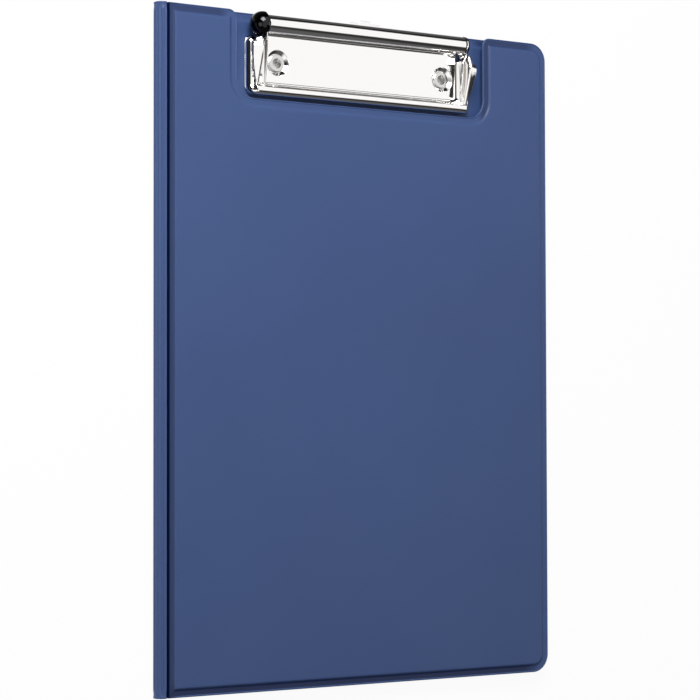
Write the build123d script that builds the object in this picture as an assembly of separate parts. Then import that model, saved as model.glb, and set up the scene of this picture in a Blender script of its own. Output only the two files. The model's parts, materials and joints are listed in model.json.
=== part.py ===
from build123d import *
import math
import os

# A4 fold-over clipboard, closed and lying on its back.
# X runs across the page with the spine at -X, Y runs up the page with the clip at +Y,
# and Z runs out of the front cover. The origin is the middle of the back's outer face.

# How far a cut runs past what it goes through
OVERRUN = 1.0

# Folder, overall
WIDTH = 228.0
HEIGHT = 320.0
CLOSED_THICKNESS = 8.0
FREE_CORNER_R = 9.0

# Foil and boards
FOIL = 0.4
BACK_BOARD = 2.0
COVER_BOARD = 1.5
BOARD_BEVEL = 0.5

# Welded rim round each panel
RIM_WIDTH = 3.4
BEAD_WIDTH = 0.9
BEAD_THICKNESS = 1.3

# Ribbed fold along the spine
HINGE_BAND = 5.0
RIB_PITCH = 1.85
GROOVE_R = 0.35
GROOVE_DEPTH = 0.2
PLAIN_END = 4.0
SPLIT_ANGLE = 45.0
FOLD_GAP = 0.3

# Cut-out in the cover, with room round the clip that stands in it
NOTCH_SIDE_ROOM = 6.6
NOTCH_FRONT_ROOM = 1.6
NOTCH_INNER_R = 9.0
NOTCH_OUTER_R = 4.5

# Pocket inside the cover
POCKET_FOIL = 0.25
POCKET_HEIGHT = 205.0
POCKET_MARGIN = 8.0
POCKET_SEAM = 2.5
POCKET_SLACK = 0.15
POCKET_CORNER_R = 6.0

# Clip, placed from the page's middle and its top edge
CLIP_X = 1.2
SHEET = 0.8
BARREL_R = 4.6
BARREL_LENGTH = 115.2
BARREL_DROP = 5.8
BARREL_SEAM = 0.5
PLATE_INSET = 0.6
PLATE_FRONT_DROP = 32.6
PLATE_RISE = 1.6
PLATE_CORNER_R = 2.0

# Hollow rivets that hold the base plate
RIVET_FROM_END = 8.4
RIVET_DROP = 23.0
RIVET_BORE_R = 2.4
RIVET_WALL = 0.5
RIVET_FLANGE_R = 4.4
RIVET_FLANGE = 0.9
RIVET_FLANGE_ROUND = 0.7
RIVET_CLINCH_R = 4.0
RIVET_CLINCH = 0.6
RIVET_FIT = 0.1
DIMPLE_TOP_R = 6.2
DIMPLE_FLOOR_R = 5.0
WASHER_R = 5.2
WASHER = 0.5
WASHER_FIT = 0.2

# Pivot rod, its bushes, the ball on its left end and the flat cap on its right end
ROD_R = 1.6
BUSH_SPIGOT = 6.0
BUSH_FLANGE = 0.4
BUSH_FIT = 0.05
BALL_R = 6.0
CAP_R = 4.6
CAP_DOME = 1.2
CAP_SKIRT = 0.4
CAP_GAP = 0.2
CAP_ROOM = 0.4

# Jaw, one pressed sheet: two pivot ears, two arms, two leaf-shaped wings and a rolled rim
CHANNEL_WIDTH = 7.6
JAW_FRONT_DROP = 39.4
JAW_REAR_DROP = 10.0
JAW_CORNER_R = 5.0
JAW_LIFT = 0.3
EAR_R = 4.7
EAR_BORE_GAP = 0.2
EAR_SIDE_GAP = 0.3
BAR_R = 2.8
BAR_SEAM = 1.6
ARM_REAR_HEIGHT = 8.9
ARM_FRONT_HEIGHT = 5.9
WING_APEX_DROP = 17.5
WING_APEX_HEIGHT = 9.5
WING_WAIST_DROP = 27.0
WING_WAIST_HEIGHT = 7.0
WING_FRONT_HEIGHT = 4.7
WING_REAR_HEIGHT = 7.5
WING_INSET = 4.6
GRIP_APEX_REACH = 4.3
GRIP_WAIST_REACH = 2.9
GRIP_FRONT_REACH = 0.6
GRIP_SLOPE = 19.0

# Torsion springs, wound round the rod inside the barrel
WIRE = 1.0
COIL_R = 2.6
COIL_PITCH = 1.5
COIL_TURNS = 12
COIL_FROM_BUSH = 1.0

# Hanging eye that slides under the base plate
EYE_OFFSET = 2.7
EYE_SHEET = 0.8
EYE_LIFT = 0.2
EYE_HEAD_WIDTH = 19.0
EYE_HEAD_DROP = 7.0
EYE_STAND_OUT = 0.9
EYE_CORNER_R = 0.8
EYE_NUB_WIDTH = 6.5
EYE_NUB = 1.3
EYE_HOLE_WIDTH = 11.0
EYE_HOLE_HEIGHT = 4.6
EYE_STEM_WIDTH = 12.0
EYE_FOOT_WIDTH = 18.0
EYE_FOOT = 3.0
EYE_TRAVEL = 14.0
EYE_GUIDE_WIDTH = 2.2
EYE_GUIDE_LENGTH = 2.2
EYE_GAP = 0.3

# Places worked out from the sizes above
LEFT = -WIDTH / 2
RIGHT = WIDTH / 2
TOP = HEIGHT / 2
SPINE_R = CLOSED_THICKNESS / 2
SPINE_X = LEFT + SPINE_R
PANEL_X = SPINE_X + HINGE_BAND
BACK_TOP = BACK_BOARD + 2 * FOIL
COVER_BOTTOM = CLOSED_THICKNESS - COVER_BOARD - 2 * FOIL
BARREL_END = BARREL_LENGTH / 2
PLATE_END = BARREL_END - PLATE_INSET
PLATE_UNDER = BACK_TOP + PLATE_RISE
PLATE_TOP = PLATE_UNDER + SHEET
BARREL_Y = TOP - BARREL_DROP
BARREL_Z = PLATE_UNDER + BARREL_R
BARREL_BORE_R = BARREL_R - SHEET
PLATE_FRONT_Y = TOP - PLATE_FRONT_DROP
RIVET_Y = TOP - RIVET_DROP
RIVET_X = PLATE_END - RIVET_FROM_END
RIVET_R = RIVET_BORE_R + RIVET_WALL
EAR_X = BARREL_END + BUSH_FLANGE + EAR_SIDE_GAP
CAP_X = EAR_X + SHEET + CAP_GAP
CAP_STEP = CAP_X + CAP_SKIRT
JAW_END = EAR_X + CHANNEL_WIDTH
JAW_BOTTOM = BACK_TOP + JAW_LIFT
JAW_FRONT_Y = TOP - JAW_FRONT_DROP
JAW_REAR_Y = TOP - JAW_REAR_DROP
NOTCH_END = JAW_END + NOTCH_SIDE_ROOM
NOTCH_FLOOR = JAW_FRONT_Y - NOTCH_FRONT_ROOM
EYE_X = CLIP_X + EYE_OFFSET


def block(x, y, z):
    """A box from its lowest and highest value along each axis."""
    sizes = [high - low for low, high in (x, y, z)]
    middle = [(low + high) / 2 for low, high in (x, y, z)]
    return Pos(*middle) * Box(*sizes)


def area(x, y):
    """A flat rectangle from its lowest and highest x and y."""
    return Pos((x[0] + x[1]) / 2, (y[0] + y[1]) / 2) * Rectangle(x[1] - x[0], y[1] - y[0])


def slab(face, low, high):
    """A flat face made solid between two heights."""
    return extrude(Pos(0, 0, low) * face, high - low)


def disc(radius, x, y, low, high):
    """An upright cylinder between two heights."""
    return Pos(x, y, (low + high) / 2) * Cylinder(radius, high - low)


def shaft(radius, start, stop, y=BARREL_Y, z=BARREL_Z):
    """A cylinder along X, with start and stop measured from the clip's middle."""
    return Pos(CLIP_X + (start + stop) / 2, y, z) * Rot(0, 90, 0) * Cylinder(radius, stop - start)


def side_plate(points, start, stop):
    """A plate across X, with its outline given as y, z points."""
    face = Plane.YZ * make_face(Polyline(*points, close=True))
    return Pos(CLIP_X + start) * extrude(face, stop - start)


def mirror_clip(solid):
    """The same solid at the clip's other end."""
    return mirror(solid, Plane(origin=(CLIP_X, 0, 0), z_dir=(1, 0, 0)))


def export(solid, name):
    """One node, as one file."""
    export_step(solid, f"parts/{name}.step")


# Outlines of the two panels


def near(corners, x, y):
    """The vertex nearest to a place."""
    return min(corners, key=lambda v: (v.X - x) ** 2 + (v.Y - y) ** 2)


def back_outline():
    """The back from the spine's bend to its rounded free corners."""
    face = area((SPINE_X, RIGHT), (-TOP, TOP))
    corners = [near(face.vertices(), RIGHT, y) for y in (-TOP, TOP)]
    return fillet(corners, FREE_CORNER_R)


def cover_outline():
    """The cover, with the cut-out for the clip in its top edge."""
    low, high = CLIP_X - NOTCH_END, CLIP_X + NOTCH_END
    face = back_outline() - area((low, high), (NOTCH_FLOOR, TOP + OVERRUN))
    mouth = [near(face.vertices(), x, TOP) for x in (low, high)]
    face = fillet(mouth, NOTCH_OUTER_R)
    corners = [near(face.vertices(), x, NOTCH_FLOOR) for x in (low, high)]
    return fillet(corners, NOTCH_INNER_R)


def panel_outline(outline):
    """What the board stiffens: the outline inside its welded rim and past the fold."""
    return offset(outline, -RIM_WIDTH) & area((PANEL_X, RIGHT), (-TOP, TOP))


# Foil in the ribbed fold


def on_spine(radius, degrees):
    """A point round the spine's centre line, from +X towards +Z."""
    angle = math.radians(degrees)
    return SPINE_X + radius * math.cos(angle), SPINE_R + radius * math.sin(angle)


def foil_bend(outer, inner, start, stop):
    """A bent strip of foil along the whole spine."""
    middle = (start + stop) / 2
    outline = [
        ThreePointArc(*(on_spine(outer, a) for a in (start, middle, stop))),
        Line(on_spine(outer, stop), on_spine(inner, stop)),
        ThreePointArc(*(on_spine(inner, a) for a in (stop, middle, start))),
        Line(on_spine(inner, start), on_spine(outer, start)),
    ]
    return extrude(Plane.XZ * make_face(outline), TOP, both=True)


def groove(distance, side):
    """The valley between two ribs, at a distance round the spine from its middle."""
    quarter = SPINE_R * math.pi / 2
    out = SPINE_R + GROOVE_R - GROOVE_DEPTH
    if distance < quarter:
        x, z = on_spine(out, 180 - side * math.degrees(distance / SPINE_R))
    else:
        x, z = SPINE_X + distance - quarter, SPINE_R + side * out
    return Pos(x, 0, z) * Rot(90, 0, 0) * Cylinder(GROOVE_R, HEIGHT - 2 * PLAIN_END)


def cut_grooves(solid, side):
    """Every valley from the spine's middle to the panel on one side."""
    reach = SPINE_R * math.pi / 2 + HINGE_BAND - RIB_PITCH / 2
    count = int(reach / RIB_PITCH + 0.5)
    return solid - [groove((n + 0.5) * RIB_PITCH, side) for n in range(count)]


HALF_GAP = math.degrees(FOLD_GAP / 2 / SPINE_R)
BEND = {1: (90, 180 - SPLIT_ANGLE - HALF_GAP), -1: (180 + SPLIT_ANGLE + HALF_GAP, 270)}


# Panels: a board sealed between an outer skin and an inner liner


def make_panel(outline, side, face_z, inside_z):
    """Board, outer skin and inner liner. Side is 1 for the cover and -1 for the back."""
    low, high = sorted((face_z, inside_z))
    middle = (low + high) / 2
    panel = panel_outline(outline)
    core = slab(offset(panel, -FOIL), low + FOIL, high - FOIL)
    board = chamfer(core.edges().filter_by(Plane.XY), BOARD_BEVEL)
    body = slab(panel, low, high)
    body = chamfer(body.edges().filter_by(Plane.XY), BOARD_BEVEL + FOIL / 2)
    rim = outline - area((SPINE_X, PANEL_X), (-TOP, TOP))
    edge = (outline - offset(outline, -BEAD_WIDTH)) - area((SPINE_X, PANEL_X), (-TOP, TOP))
    body += slab(rim, middle - FOIL, middle + FOIL)
    body += slab(edge, middle - BEAD_THICKNESS / 2, middle + BEAD_THICKNESS / 2)
    body -= board
    start, stop = BEND[side]
    skin_line = face_z - side * FOIL
    liner_line = skin_line - side * FOIL
    band_x = (SPINE_X, PANEL_X + BOARD_BEVEL)
    whole_y = (-TOP, TOP)
    inner_side = [middle, inside_z - side * OVERRUN]
    lined = block((LEFT, RIGHT), whole_y, sorted(inner_side))
    lined += block((LEFT, PANEL_X + FOIL), whole_y, sorted((skin_line, inner_side[1])))
    skin = body - lined
    skin += block(band_x, whole_y, sorted((face_z, skin_line)))
    skin += foil_bend(SPINE_R, SPINE_R - FOIL, start, stop)
    skin = cut_grooves(skin - board, side)
    liner = body & lined
    liner += block(band_x, whole_y, sorted((skin_line, liner_line))) - board
    liner += foil_bend(SPINE_R - FOIL, SPINE_R - 2 * FOIL, start, stop)
    return board, skin, liner - skin


def spine_strip():
    """The middle of the fold, which turns on both edges."""
    start, stop = BEND[1][1] + 2 * HALF_GAP, BEND[-1][0] - 2 * HALF_GAP
    skin = foil_bend(SPINE_R, SPINE_R - FOIL, start, stop)
    liner = foil_bend(SPINE_R - FOIL, SPINE_R - 2 * FOIL, start, stop)
    return cut_grooves(cut_grooves(skin, 1), -1), liner


def cover_pocket(outline):
    """A clear pocket on the inside of the cover, sealed on three sides and open at the top."""
    left, right = PANEL_X + POCKET_MARGIN, RIGHT - RIM_WIDTH - POCKET_MARGIN
    bottom = -TOP + RIM_WIDTH + POCKET_MARGIN
    face = area((left, right), (bottom, bottom + POCKET_HEIGHT))
    face = fillet([near(face.vertices(), x, bottom) for x in (left, right)], POCKET_CORNER_R)
    mouth_low = bottom + POCKET_SEAM + POCKET_CORNER_R
    mouth = area((left + POCKET_SEAM, right - POCKET_SEAM), (mouth_low, bottom + POCKET_HEIGHT))
    slack = offset(face, -POCKET_SEAM) + mouth
    top = COVER_BOTTOM
    sheet = slab(face, top - POCKET_SLACK - POCKET_FOIL, top)
    return sheet - slab(slack, top - POCKET_SLACK, top)


# Clip


def rivet_places():
    """The middle of each rivet, left then right."""
    return [(CLIP_X + side * RIVET_X, RIVET_Y) for side in (-1, 1)]


def rivet_hole(x, y):
    """The way through the back panel, with a seat for the washer and the clinch."""
    seat = RIVET_CLINCH + WASHER
    shank = disc(RIVET_R + RIVET_FIT, x, y, -OVERRUN, BACK_TOP + OVERRUN)
    return shank + disc(WASHER_R + WASHER_FIT, x, y, -OVERRUN, seat)


def rivet(x, y):
    """A hollow rivet with a rounded flange in front and its clinch flush with the back."""
    floor = BACK_TOP + SHEET
    flange = disc(RIVET_FLANGE_R, x, y, floor, floor + RIVET_FLANGE)
    rim = flange.edges().filter_by(GeomType.CIRCLE).sort_by(Axis.Z)[-1]
    flange = fillet(rim, RIVET_FLANGE_ROUND)
    body = flange + disc(RIVET_R, x, y, 0, floor) + disc(RIVET_CLINCH_R, x, y, 0, RIVET_CLINCH)
    return body - disc(RIVET_BORE_R, x, y, -OVERRUN, floor + RIVET_FLANGE + OVERRUN)


def rivet_washer(x, y):
    """A backing washer between the clinch and the board."""
    seat = RIVET_CLINCH + WASHER
    return disc(WASHER_R, x, y, RIVET_CLINCH, seat) - disc(RIVET_R, x, y, 0, seat + OVERRUN)


def dimple(x, y):
    """The dish that takes the plate down to the board round a rivet."""
    hole_r = RIVET_R + RIVET_FIT
    outline = [
        (hole_r, BACK_TOP),
        (DIMPLE_FLOOR_R, BACK_TOP),
        (DIMPLE_TOP_R, PLATE_UNDER),
        (DIMPLE_TOP_R, PLATE_TOP),
        (DIMPLE_FLOOR_R, BACK_TOP + SHEET),
        (hole_r, BACK_TOP + SHEET),
    ]
    face = Plane.XZ * make_face(Polyline(*outline, close=True))
    return Pos(x, y, 0) * revolve(face, Axis.Z)


def eye_guides():
    """Two lugs under the plate that the eye's stem runs between."""
    inner = EYE_STEM_WIDTH / 2 + EYE_GAP
    high = TOP - EYE_HEAD_DROP - EYE_GAP
    lug = block(
        (EYE_X + inner, EYE_X + inner + EYE_GUIDE_WIDTH),
        (high - EYE_GUIDE_LENGTH, high),
        (BACK_TOP, PLATE_UNDER),
    )
    return [lug, mirror(lug, Plane(origin=(EYE_X, 0, 0), z_dir=(1, 0, 0)))]


def base_plate():
    """The riveted plate, turned down to the board at its ends and front, and rolled up on top."""
    low, high = CLIP_X - PLATE_END, CLIP_X + PLATE_END
    outline = area((low, high), (PLATE_FRONT_Y, BARREL_Y))
    front = [near(outline.vertices(), x, PLATE_FRONT_Y) for x in (low, high)]
    outline = fillet(front, PLATE_CORNER_R)
    tray = slab(outline, BACK_TOP, PLATE_TOP)
    inner = offset(outline, -SHEET)
    inner += area((low + SHEET, high - SHEET), (RIVET_Y, BARREL_Y + SHEET))
    tray -= slab(inner, BACK_TOP - OVERRUN, PLATE_UNDER)
    for x, y in rivet_places():
        tray -= disc(DIMPLE_TOP_R, x, y, BACK_TOP - OVERRUN, PLATE_TOP + OVERRUN)
        tray += dimple(x, y)
    seam = block(
        (CLIP_X - BARREL_END, CLIP_X + BARREL_END),
        (BARREL_Y - BARREL_R, BARREL_Y),
        (PLATE_TOP, PLATE_TOP + BARREL_SEAM),
    )
    barrel = shaft(BARREL_R, -BARREL_END, BARREL_END) - seam
    bore = shaft(BARREL_BORE_R, -BARREL_END - OVERRUN, BARREL_END + OVERRUN)
    return tray + barrel - bore + eye_guides()


def pivot_rod():
    """The straight rod that the jaw turns on."""
    return shaft(ROD_R, -CAP_STEP, CAP_STEP)


def barrel_bush():
    """A plastic bush that centres the rod in the barrel's end."""
    inner, outer = BARREL_END - BUSH_SPIGOT, BARREL_END + BUSH_FLANGE
    bush = shaft(BARREL_BORE_R - BUSH_FIT, inner, BARREL_END)
    bush += shaft(BARREL_R, BARREL_END, outer)
    return bush - shaft(ROD_R, inner - OVERRUN, outer + OVERRUN)


def rod_cap(radius, dome):
    """A domed cap pushed on the rod's end, outside the ear."""
    tip = CAP_STEP + dome
    ball_r = (radius**2 + dome**2) / (2 * dome)
    half_way = math.atan2(radius, ball_r - dome) / 2
    crown = (tip - ball_r + ball_r * math.cos(half_way), ball_r * math.sin(half_way))
    bore = [(tip, 0), (CAP_STEP, 0), (CAP_STEP, ROD_R), (CAP_X, ROD_R), (CAP_X, radius)]
    outline = [
        ThreePointArc((CAP_STEP, radius), crown, (tip, 0)),
        Polyline(*bore, (CAP_STEP, radius)),
    ]
    return Pos(CLIP_X, BARREL_Y, BARREL_Z) * revolve(make_face(outline), Axis.X)


def torsion_spring():
    """One round-wire coil with a straight stub at each end, square to the coil's radius."""
    height = COIL_PITCH * COIL_TURNS
    coil = Helix(pitch=COIL_PITCH, height=height, radius=COIL_R)
    lead = Line(coil @ 0 - (coil % 0) * WIRE, coil @ 0)
    tail = Line(coil @ 1, coil @ 1 + (coil % 1) * WIRE)
    path = Wire([lead, coil, tail])
    section = Plane(origin=path @ 0, z_dir=path % 0) * Circle(WIRE / 2)
    start = BARREL_END - BUSH_SPIGOT - COIL_FROM_BUSH - WIRE / 2 - height
    place = Pos(CLIP_X + start, BARREL_Y, BARREL_Z) * Rot(0, 90, 0)
    return place * sweep(section, path=path, is_frenet=True)


def least_coil_gap(steps=72):
    """The smallest gap between one turn of the spring and the next, on sampled points."""
    points = []
    for n in range(3 * steps):
        turn = n / steps
        angle = 2 * math.pi * turn
        points.append((COIL_R * math.cos(angle), COIL_R * math.sin(angle), COIL_PITCH * turn))
    later = [p for n, p in enumerate(points) if n > steps // 2]
    return min(math.dist(points[0], p) for p in later) - WIRE


def jaw_wing():
    """The side wall of the jaw, with its top turned outwards into a leaf-shaped finger grip."""
    base, rear = JAW_BOTTOM, JAW_REAR_Y
    bar_back = JAW_FRONT_Y + 2 * BAR_R
    apex, waist = TOP - WING_APEX_DROP, TOP - WING_WAIST_DROP
    outer = CLIP_X + JAW_END - WING_INSET
    inner = outer - SHEET
    crest = [
        (rear, base + WING_REAR_HEIGHT),
        (apex, base + WING_APEX_HEIGHT),
        (waist, base + WING_WAIST_HEIGHT),
        (bar_back, base + WING_FRONT_HEIGHT),
    ]
    under = [(y, z - SHEET) for y, z in crest]
    foot = Polyline(crest[-1], (bar_back, base), (rear, base), crest[0])
    wall = extrude(Plane.YZ * make_face([Spline(*crest), foot]), SHEET)
    ends = [Line(crest[0], under[0]), Line(crest[-1], under[-1])]
    band = Plane.YZ * make_face([Spline(*crest), Spline(*under), *ends])
    slope = math.radians(GRIP_SLOPE)
    way = (math.cos(slope), 0, -math.sin(slope))
    band = extrude(band, (SHEET + WING_INSET) / math.cos(slope), dir=way)
    edge = [
        (outer, rear),
        (outer + GRIP_APEX_REACH, apex),
        (outer + GRIP_WAIST_REACH, waist),
        (outer + GRIP_FRONT_REACH, bar_back),
    ]
    back = Polyline(edge[-1], (inner, bar_back), (inner, rear), edge[0])
    leaf = make_face([Spline(*edge), back])
    return Pos(inner) * wall + (Pos(inner) * band & slab(leaf, base, base + 2 * WING_APEX_HEIGHT))


def jaw_channel(cap_r, dome):
    """One end of the jaw: the ear and its arm, the floor, the wing and the rolled rim."""
    base = JAW_BOTTOM
    front, rear = JAW_FRONT_Y, JAW_REAR_Y
    plan = area((CLIP_X + EAR_X, CLIP_X + JAW_END), (front, rear))
    rounded = [near(plan.vertices(), CLIP_X + JAW_END, y) for y in (front, rear)]
    plan = fillet(rounded, JAW_CORNER_R)
    ridge = JAW_END - BAR_R
    floor = slab(plan, base + BAR_R - SHEET, base + BAR_R)
    floor -= block((CLIP_X + ridge, CLIP_X + JAW_END), (front, rear), (base, base + BAR_R))
    length = rear - front
    roll = Cylinder(BAR_R, length) - Cylinder(BAR_R - SHEET, length)
    rim = Pos(CLIP_X + ridge, (front + rear) / 2, base) * Rot(90, 0, 0) * roll
    rim &= slab(plan, base, base + BAR_R)
    rim &= block((CLIP_X + ridge, CLIP_X + JAW_END), (front, rear), (base, base + BAR_R))
    wing = jaw_wing()
    bar_back = front + 2 * BAR_R
    arm = [
        (front + BAR_R, base),
        (rear + SHEET, base),
        (rear + SHEET, base + ARM_REAR_HEIGHT),
        (bar_back, base + ARM_FRONT_HEIGHT),
        (front + BAR_R, base + ARM_FRONT_HEIGHT),
    ]
    ear = shaft(EAR_R, EAR_X, EAR_X + SHEET) + side_plate(arm, EAR_X, EAR_X + SHEET)
    channel = floor + rim + wing - shaft(cap_r + CAP_ROOM, EAR_X + SHEET, CAP_STEP + dome + CAP_ROOM)
    return channel + ear - shaft(ROD_R + EAR_BORE_GAP, EAR_X - OVERRUN, EAR_X + SHEET + OVERRUN)


def jaw_bar():
    """The rolled front bar, open along its lower back edge."""
    y, z = JAW_FRONT_Y + BAR_R, JAW_BOTTOM + BAR_R
    roll = shaft(BAR_R, -JAW_END, JAW_END, y, z) - shaft(BAR_R - SHEET, -EAR_X, EAR_X, y, z)
    plan = area((CLIP_X - JAW_END, CLIP_X + JAW_END), (JAW_FRONT_Y, JAW_REAR_Y))
    plan = fillet(plan.vertices(), JAW_CORNER_R)
    roll &= slab(plan, JAW_BOTTOM, JAW_BOTTOM + 2 * BAR_R)
    seam = block(
        (CLIP_X - EAR_X, CLIP_X + EAR_X), (y, y + BAR_R), (JAW_BOTTOM, JAW_BOTTOM + BAR_SEAM)
    )
    return roll - seam


def clip_jaw():
    """The whole jaw as the one pressing that it is."""
    left = mirror_clip(jaw_channel(BALL_R, BALL_R))
    return jaw_bar() + jaw_channel(CAP_R, CAP_DOME) + left


def hanging_eye():
    """A flat eye with a slot in its head, a stem and a foot that stops it."""
    low, high = BACK_TOP + EYE_LIFT, BACK_TOP + EYE_LIFT + EYE_SHEET
    head_top = TOP + EYE_STAND_OUT
    head_bottom = TOP - EYE_HEAD_DROP
    guide_low = head_bottom - EYE_GAP - EYE_GUIDE_LENGTH
    foot_top = guide_low - EYE_GAP - EYE_TRAVEL

    def bar(width, bottom, top):
        return area((EYE_X - width / 2, EYE_X + width / 2), (bottom, top))

    shape = bar(EYE_HEAD_WIDTH, head_bottom, head_top)
    shape = fillet(shape.vertices(), EYE_CORNER_R)
    shape += bar(EYE_NUB_WIDTH, head_top - EYE_CORNER_R, head_top + EYE_NUB)
    shape += bar(EYE_STEM_WIDTH, foot_top - EYE_FOOT, head_bottom + EYE_CORNER_R)
    shape += bar(EYE_FOOT_WIDTH, foot_top - EYE_FOOT, foot_top)
    hole_y = (head_top + head_bottom) / 2
    shape -= Pos(EYE_X, hole_y) * SlotOverall(EYE_HOLE_WIDTH, EYE_HOLE_HEIGHT)
    return slab(shape, low, high)


back_board, back_skin, back_liner = make_panel(back_outline(), -1, 0.0, BACK_TOP)
cover_board, cover_skin, cover_liner = make_panel(
    cover_outline(), 1, CLOSED_THICKNESS, COVER_BOTTOM
)
for place in rivet_places():
    hole = rivet_hole(*place)
    back_board -= hole
    back_skin -= hole
    back_liner -= hole
spine_skin, spine_liner = spine_strip()

export(back_skin, "back_outer_skin")
export(back_board, "back_board")
export(back_liner, "back_inner_liner")
export(spine_skin, "spine_outer_skin")
export(spine_liner, "spine_inner_liner")
export(cover_skin, "cover_outer_skin")
export(cover_board, "cover_board")
export(cover_liner, "cover_inner_liner")
export(cover_pocket(cover_outline()), "cover_pocket")
export(base_plate(), "clip_base_plate")
export(clip_jaw(), "clip_jaw")
export(pivot_rod(), "pivot_rod")
export(hanging_eye(), "hanging_eye")
for side_name, place in zip(("left", "right"), rivet_places()):
    export(rivet(*place), f"rivet_{side_name}")
    export(rivet_washer(*place), f"rivet_washer_{side_name}")
export(rod_cap(CAP_R, CAP_DOME), "rod_cap_right")
export(mirror_clip(rod_cap(BALL_R, BALL_R)), "rod_cap_left")
for name, solid in (("barrel_bush", barrel_bush()), ("torsion_spring", torsion_spring())):
    export(solid, f"{name}_right")
    export(mirror_clip(solid), f"{name}_left")

print(f"least gap between the spring's turns: {least_coil_gap():.2f} mm")
hinge = [on_spine(SPINE_R + FOLD_GAP / 2, 180 + turn * SPLIT_ANGLE) for turn in (1, -1)]
print("fold axes, x and z:", [tuple(round(v, 4) for v in p) for p in hinge])
print(f"jaw axis, y and z: {BARREL_Y:.3f}, {BARREL_Z:.3f}")
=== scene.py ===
# %% [markdown]
# # A fold-over clipboard, closed and lying on its back
#
# Two boards sealed in blue foil meet at a ribbed fold, and a nickel-plated clip stands in a
# cut-out of the cover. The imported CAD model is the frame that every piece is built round. X runs
# across the page with the fold at -X, Y runs up the page with the clip at +Y, and Z runs out of
# the cover. Blender works in metres, so sizes below are written in millimetres and turned once.

# %% Frame
import bmesh
import bpy
import json
import math
from mathutils import Matrix, Vector


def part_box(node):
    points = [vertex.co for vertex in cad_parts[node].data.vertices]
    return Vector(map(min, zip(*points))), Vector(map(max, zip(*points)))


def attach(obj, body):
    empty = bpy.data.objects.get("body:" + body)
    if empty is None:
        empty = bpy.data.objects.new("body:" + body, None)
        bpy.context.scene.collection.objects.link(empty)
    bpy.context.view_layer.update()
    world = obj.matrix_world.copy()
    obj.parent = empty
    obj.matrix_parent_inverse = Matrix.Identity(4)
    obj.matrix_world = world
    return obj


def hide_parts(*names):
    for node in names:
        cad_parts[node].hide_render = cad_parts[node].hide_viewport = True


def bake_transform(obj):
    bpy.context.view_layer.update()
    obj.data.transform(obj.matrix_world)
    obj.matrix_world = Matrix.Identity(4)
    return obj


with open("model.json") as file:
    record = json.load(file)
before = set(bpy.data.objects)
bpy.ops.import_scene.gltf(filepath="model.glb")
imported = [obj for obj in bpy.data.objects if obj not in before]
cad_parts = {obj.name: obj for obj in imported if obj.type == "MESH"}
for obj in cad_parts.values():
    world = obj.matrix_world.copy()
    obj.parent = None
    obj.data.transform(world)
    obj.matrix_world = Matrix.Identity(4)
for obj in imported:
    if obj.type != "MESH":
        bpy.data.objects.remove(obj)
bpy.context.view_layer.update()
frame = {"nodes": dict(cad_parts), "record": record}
MM = 0.001

# %% [markdown]
# The frame gives the places of all solids, so the sizes of the folder are read from it. Only what
# a box can't tell, such as a corner's radius or the pitch of the ribs, is written here.

# %% Folder sizes, mm
cover_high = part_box("cover_outer_skin")[1] / MM
back_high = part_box("back_inner_liner")[1] / MM
jaw_low, jaw_high = (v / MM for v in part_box("clip_jaw"))
RIGHT = cover_high.x
TOP = cover_high.y
THICK = cover_high.z
SPINE_R = THICK / 2
SPINE_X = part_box("spine_outer_skin")[0].x / MM + SPINE_R
CLIP_X = (jaw_low.x + jaw_high.x) / 2
FOIL = 0.4
COVER_HALF = (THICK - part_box("cover_inner_liner")[0].z / MM) / 2
BACK_HALF = back_high.z / 2
COVER_MID = THICK - COVER_HALF
BACK_MID = BACK_HALF
print(f"spine radius {SPINE_R:.2f}, clip middle {CLIP_X:.2f}, cover middle {COVER_MID:.2f}")

# %% [markdown]
# ## Finishes
#
# Each finish is a small node tree on one Principled shader. A photographed texture would need a
# map and would show its tiles, so patterns are noise on Object coordinates: they have no seam and
# stay on the piece when it moves. What is the same all over is set on the shader itself. Nodes
# are added here, in the Geometry Nodes trees and in the world, so their helpers come first.

# %% Node helpers


def add_node(tree, kind, links=(), **values):
    """A node with its values. A link is a socket and what goes in: an output or a plain value."""
    node = tree.nodes.new(kind)
    for key, value in values.items():
        setattr(node, key, value)
    for socket, source in links:
        if hasattr(source, "is_output"):
            tree.links.new(source, node.inputs[socket])
        else:
            node.inputs[socket].default_value = source
    return node


def maths(tree, operation, *values, **settings):
    """The result of one step of arithmetic."""
    links = list(enumerate(values))
    return add_node(tree, "ShaderNodeMath", links, operation=operation, **settings).outputs[0]


def spread(tree, value, low, high, to_low=0.0, to_high=1.0, **settings):
    """A value that runs from low to high, made to run between two other values."""
    links = list(enumerate((value, low, high, to_low, to_high)))
    return add_node(tree, "ShaderNodeMapRange", links, **settings).outputs[0]


def noise(tree, coords, scale, detail=2.0):
    """Soft noise in the given coordinates."""
    links = [("Vector", coords), ("Scale", scale), ("Detail", detail)]
    return add_node(tree, "ShaderNodeTexNoise", links).outputs[0]


print("node helpers:", ", ".join(f.__name__ for f in (add_node, maths, spread, noise)))

# %% Finish helpers
NOISE_RUN = (0.3, 0.7)


def finish(name, colour, roughness, metallic=0.0, ior=1.5):
    """A new material with what is the same all over, its tree, its shader and its coordinates."""
    material = bpy.data.materials.new(name)
    material.use_nodes = True
    shader = material.node_tree.nodes["Principled BSDF"]
    shader.inputs["Base Color"].default_value = (*colour, 1)
    shader.inputs["Roughness"].default_value = roughness
    shader.inputs["Metallic"].default_value = metallic
    shader.inputs["IOR"].default_value = ior
    coords = add_node(material.node_tree, "ShaderNodeTexCoord").outputs["Object"]
    return material, material.node_tree, shader, coords


def vary(tree, coords, scale, detail, low, high):
    """A noise on the object, stretched to run from low to high."""
    return spread(tree, noise(tree, coords, scale, detail), *NOISE_RUN, low, high)


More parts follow.
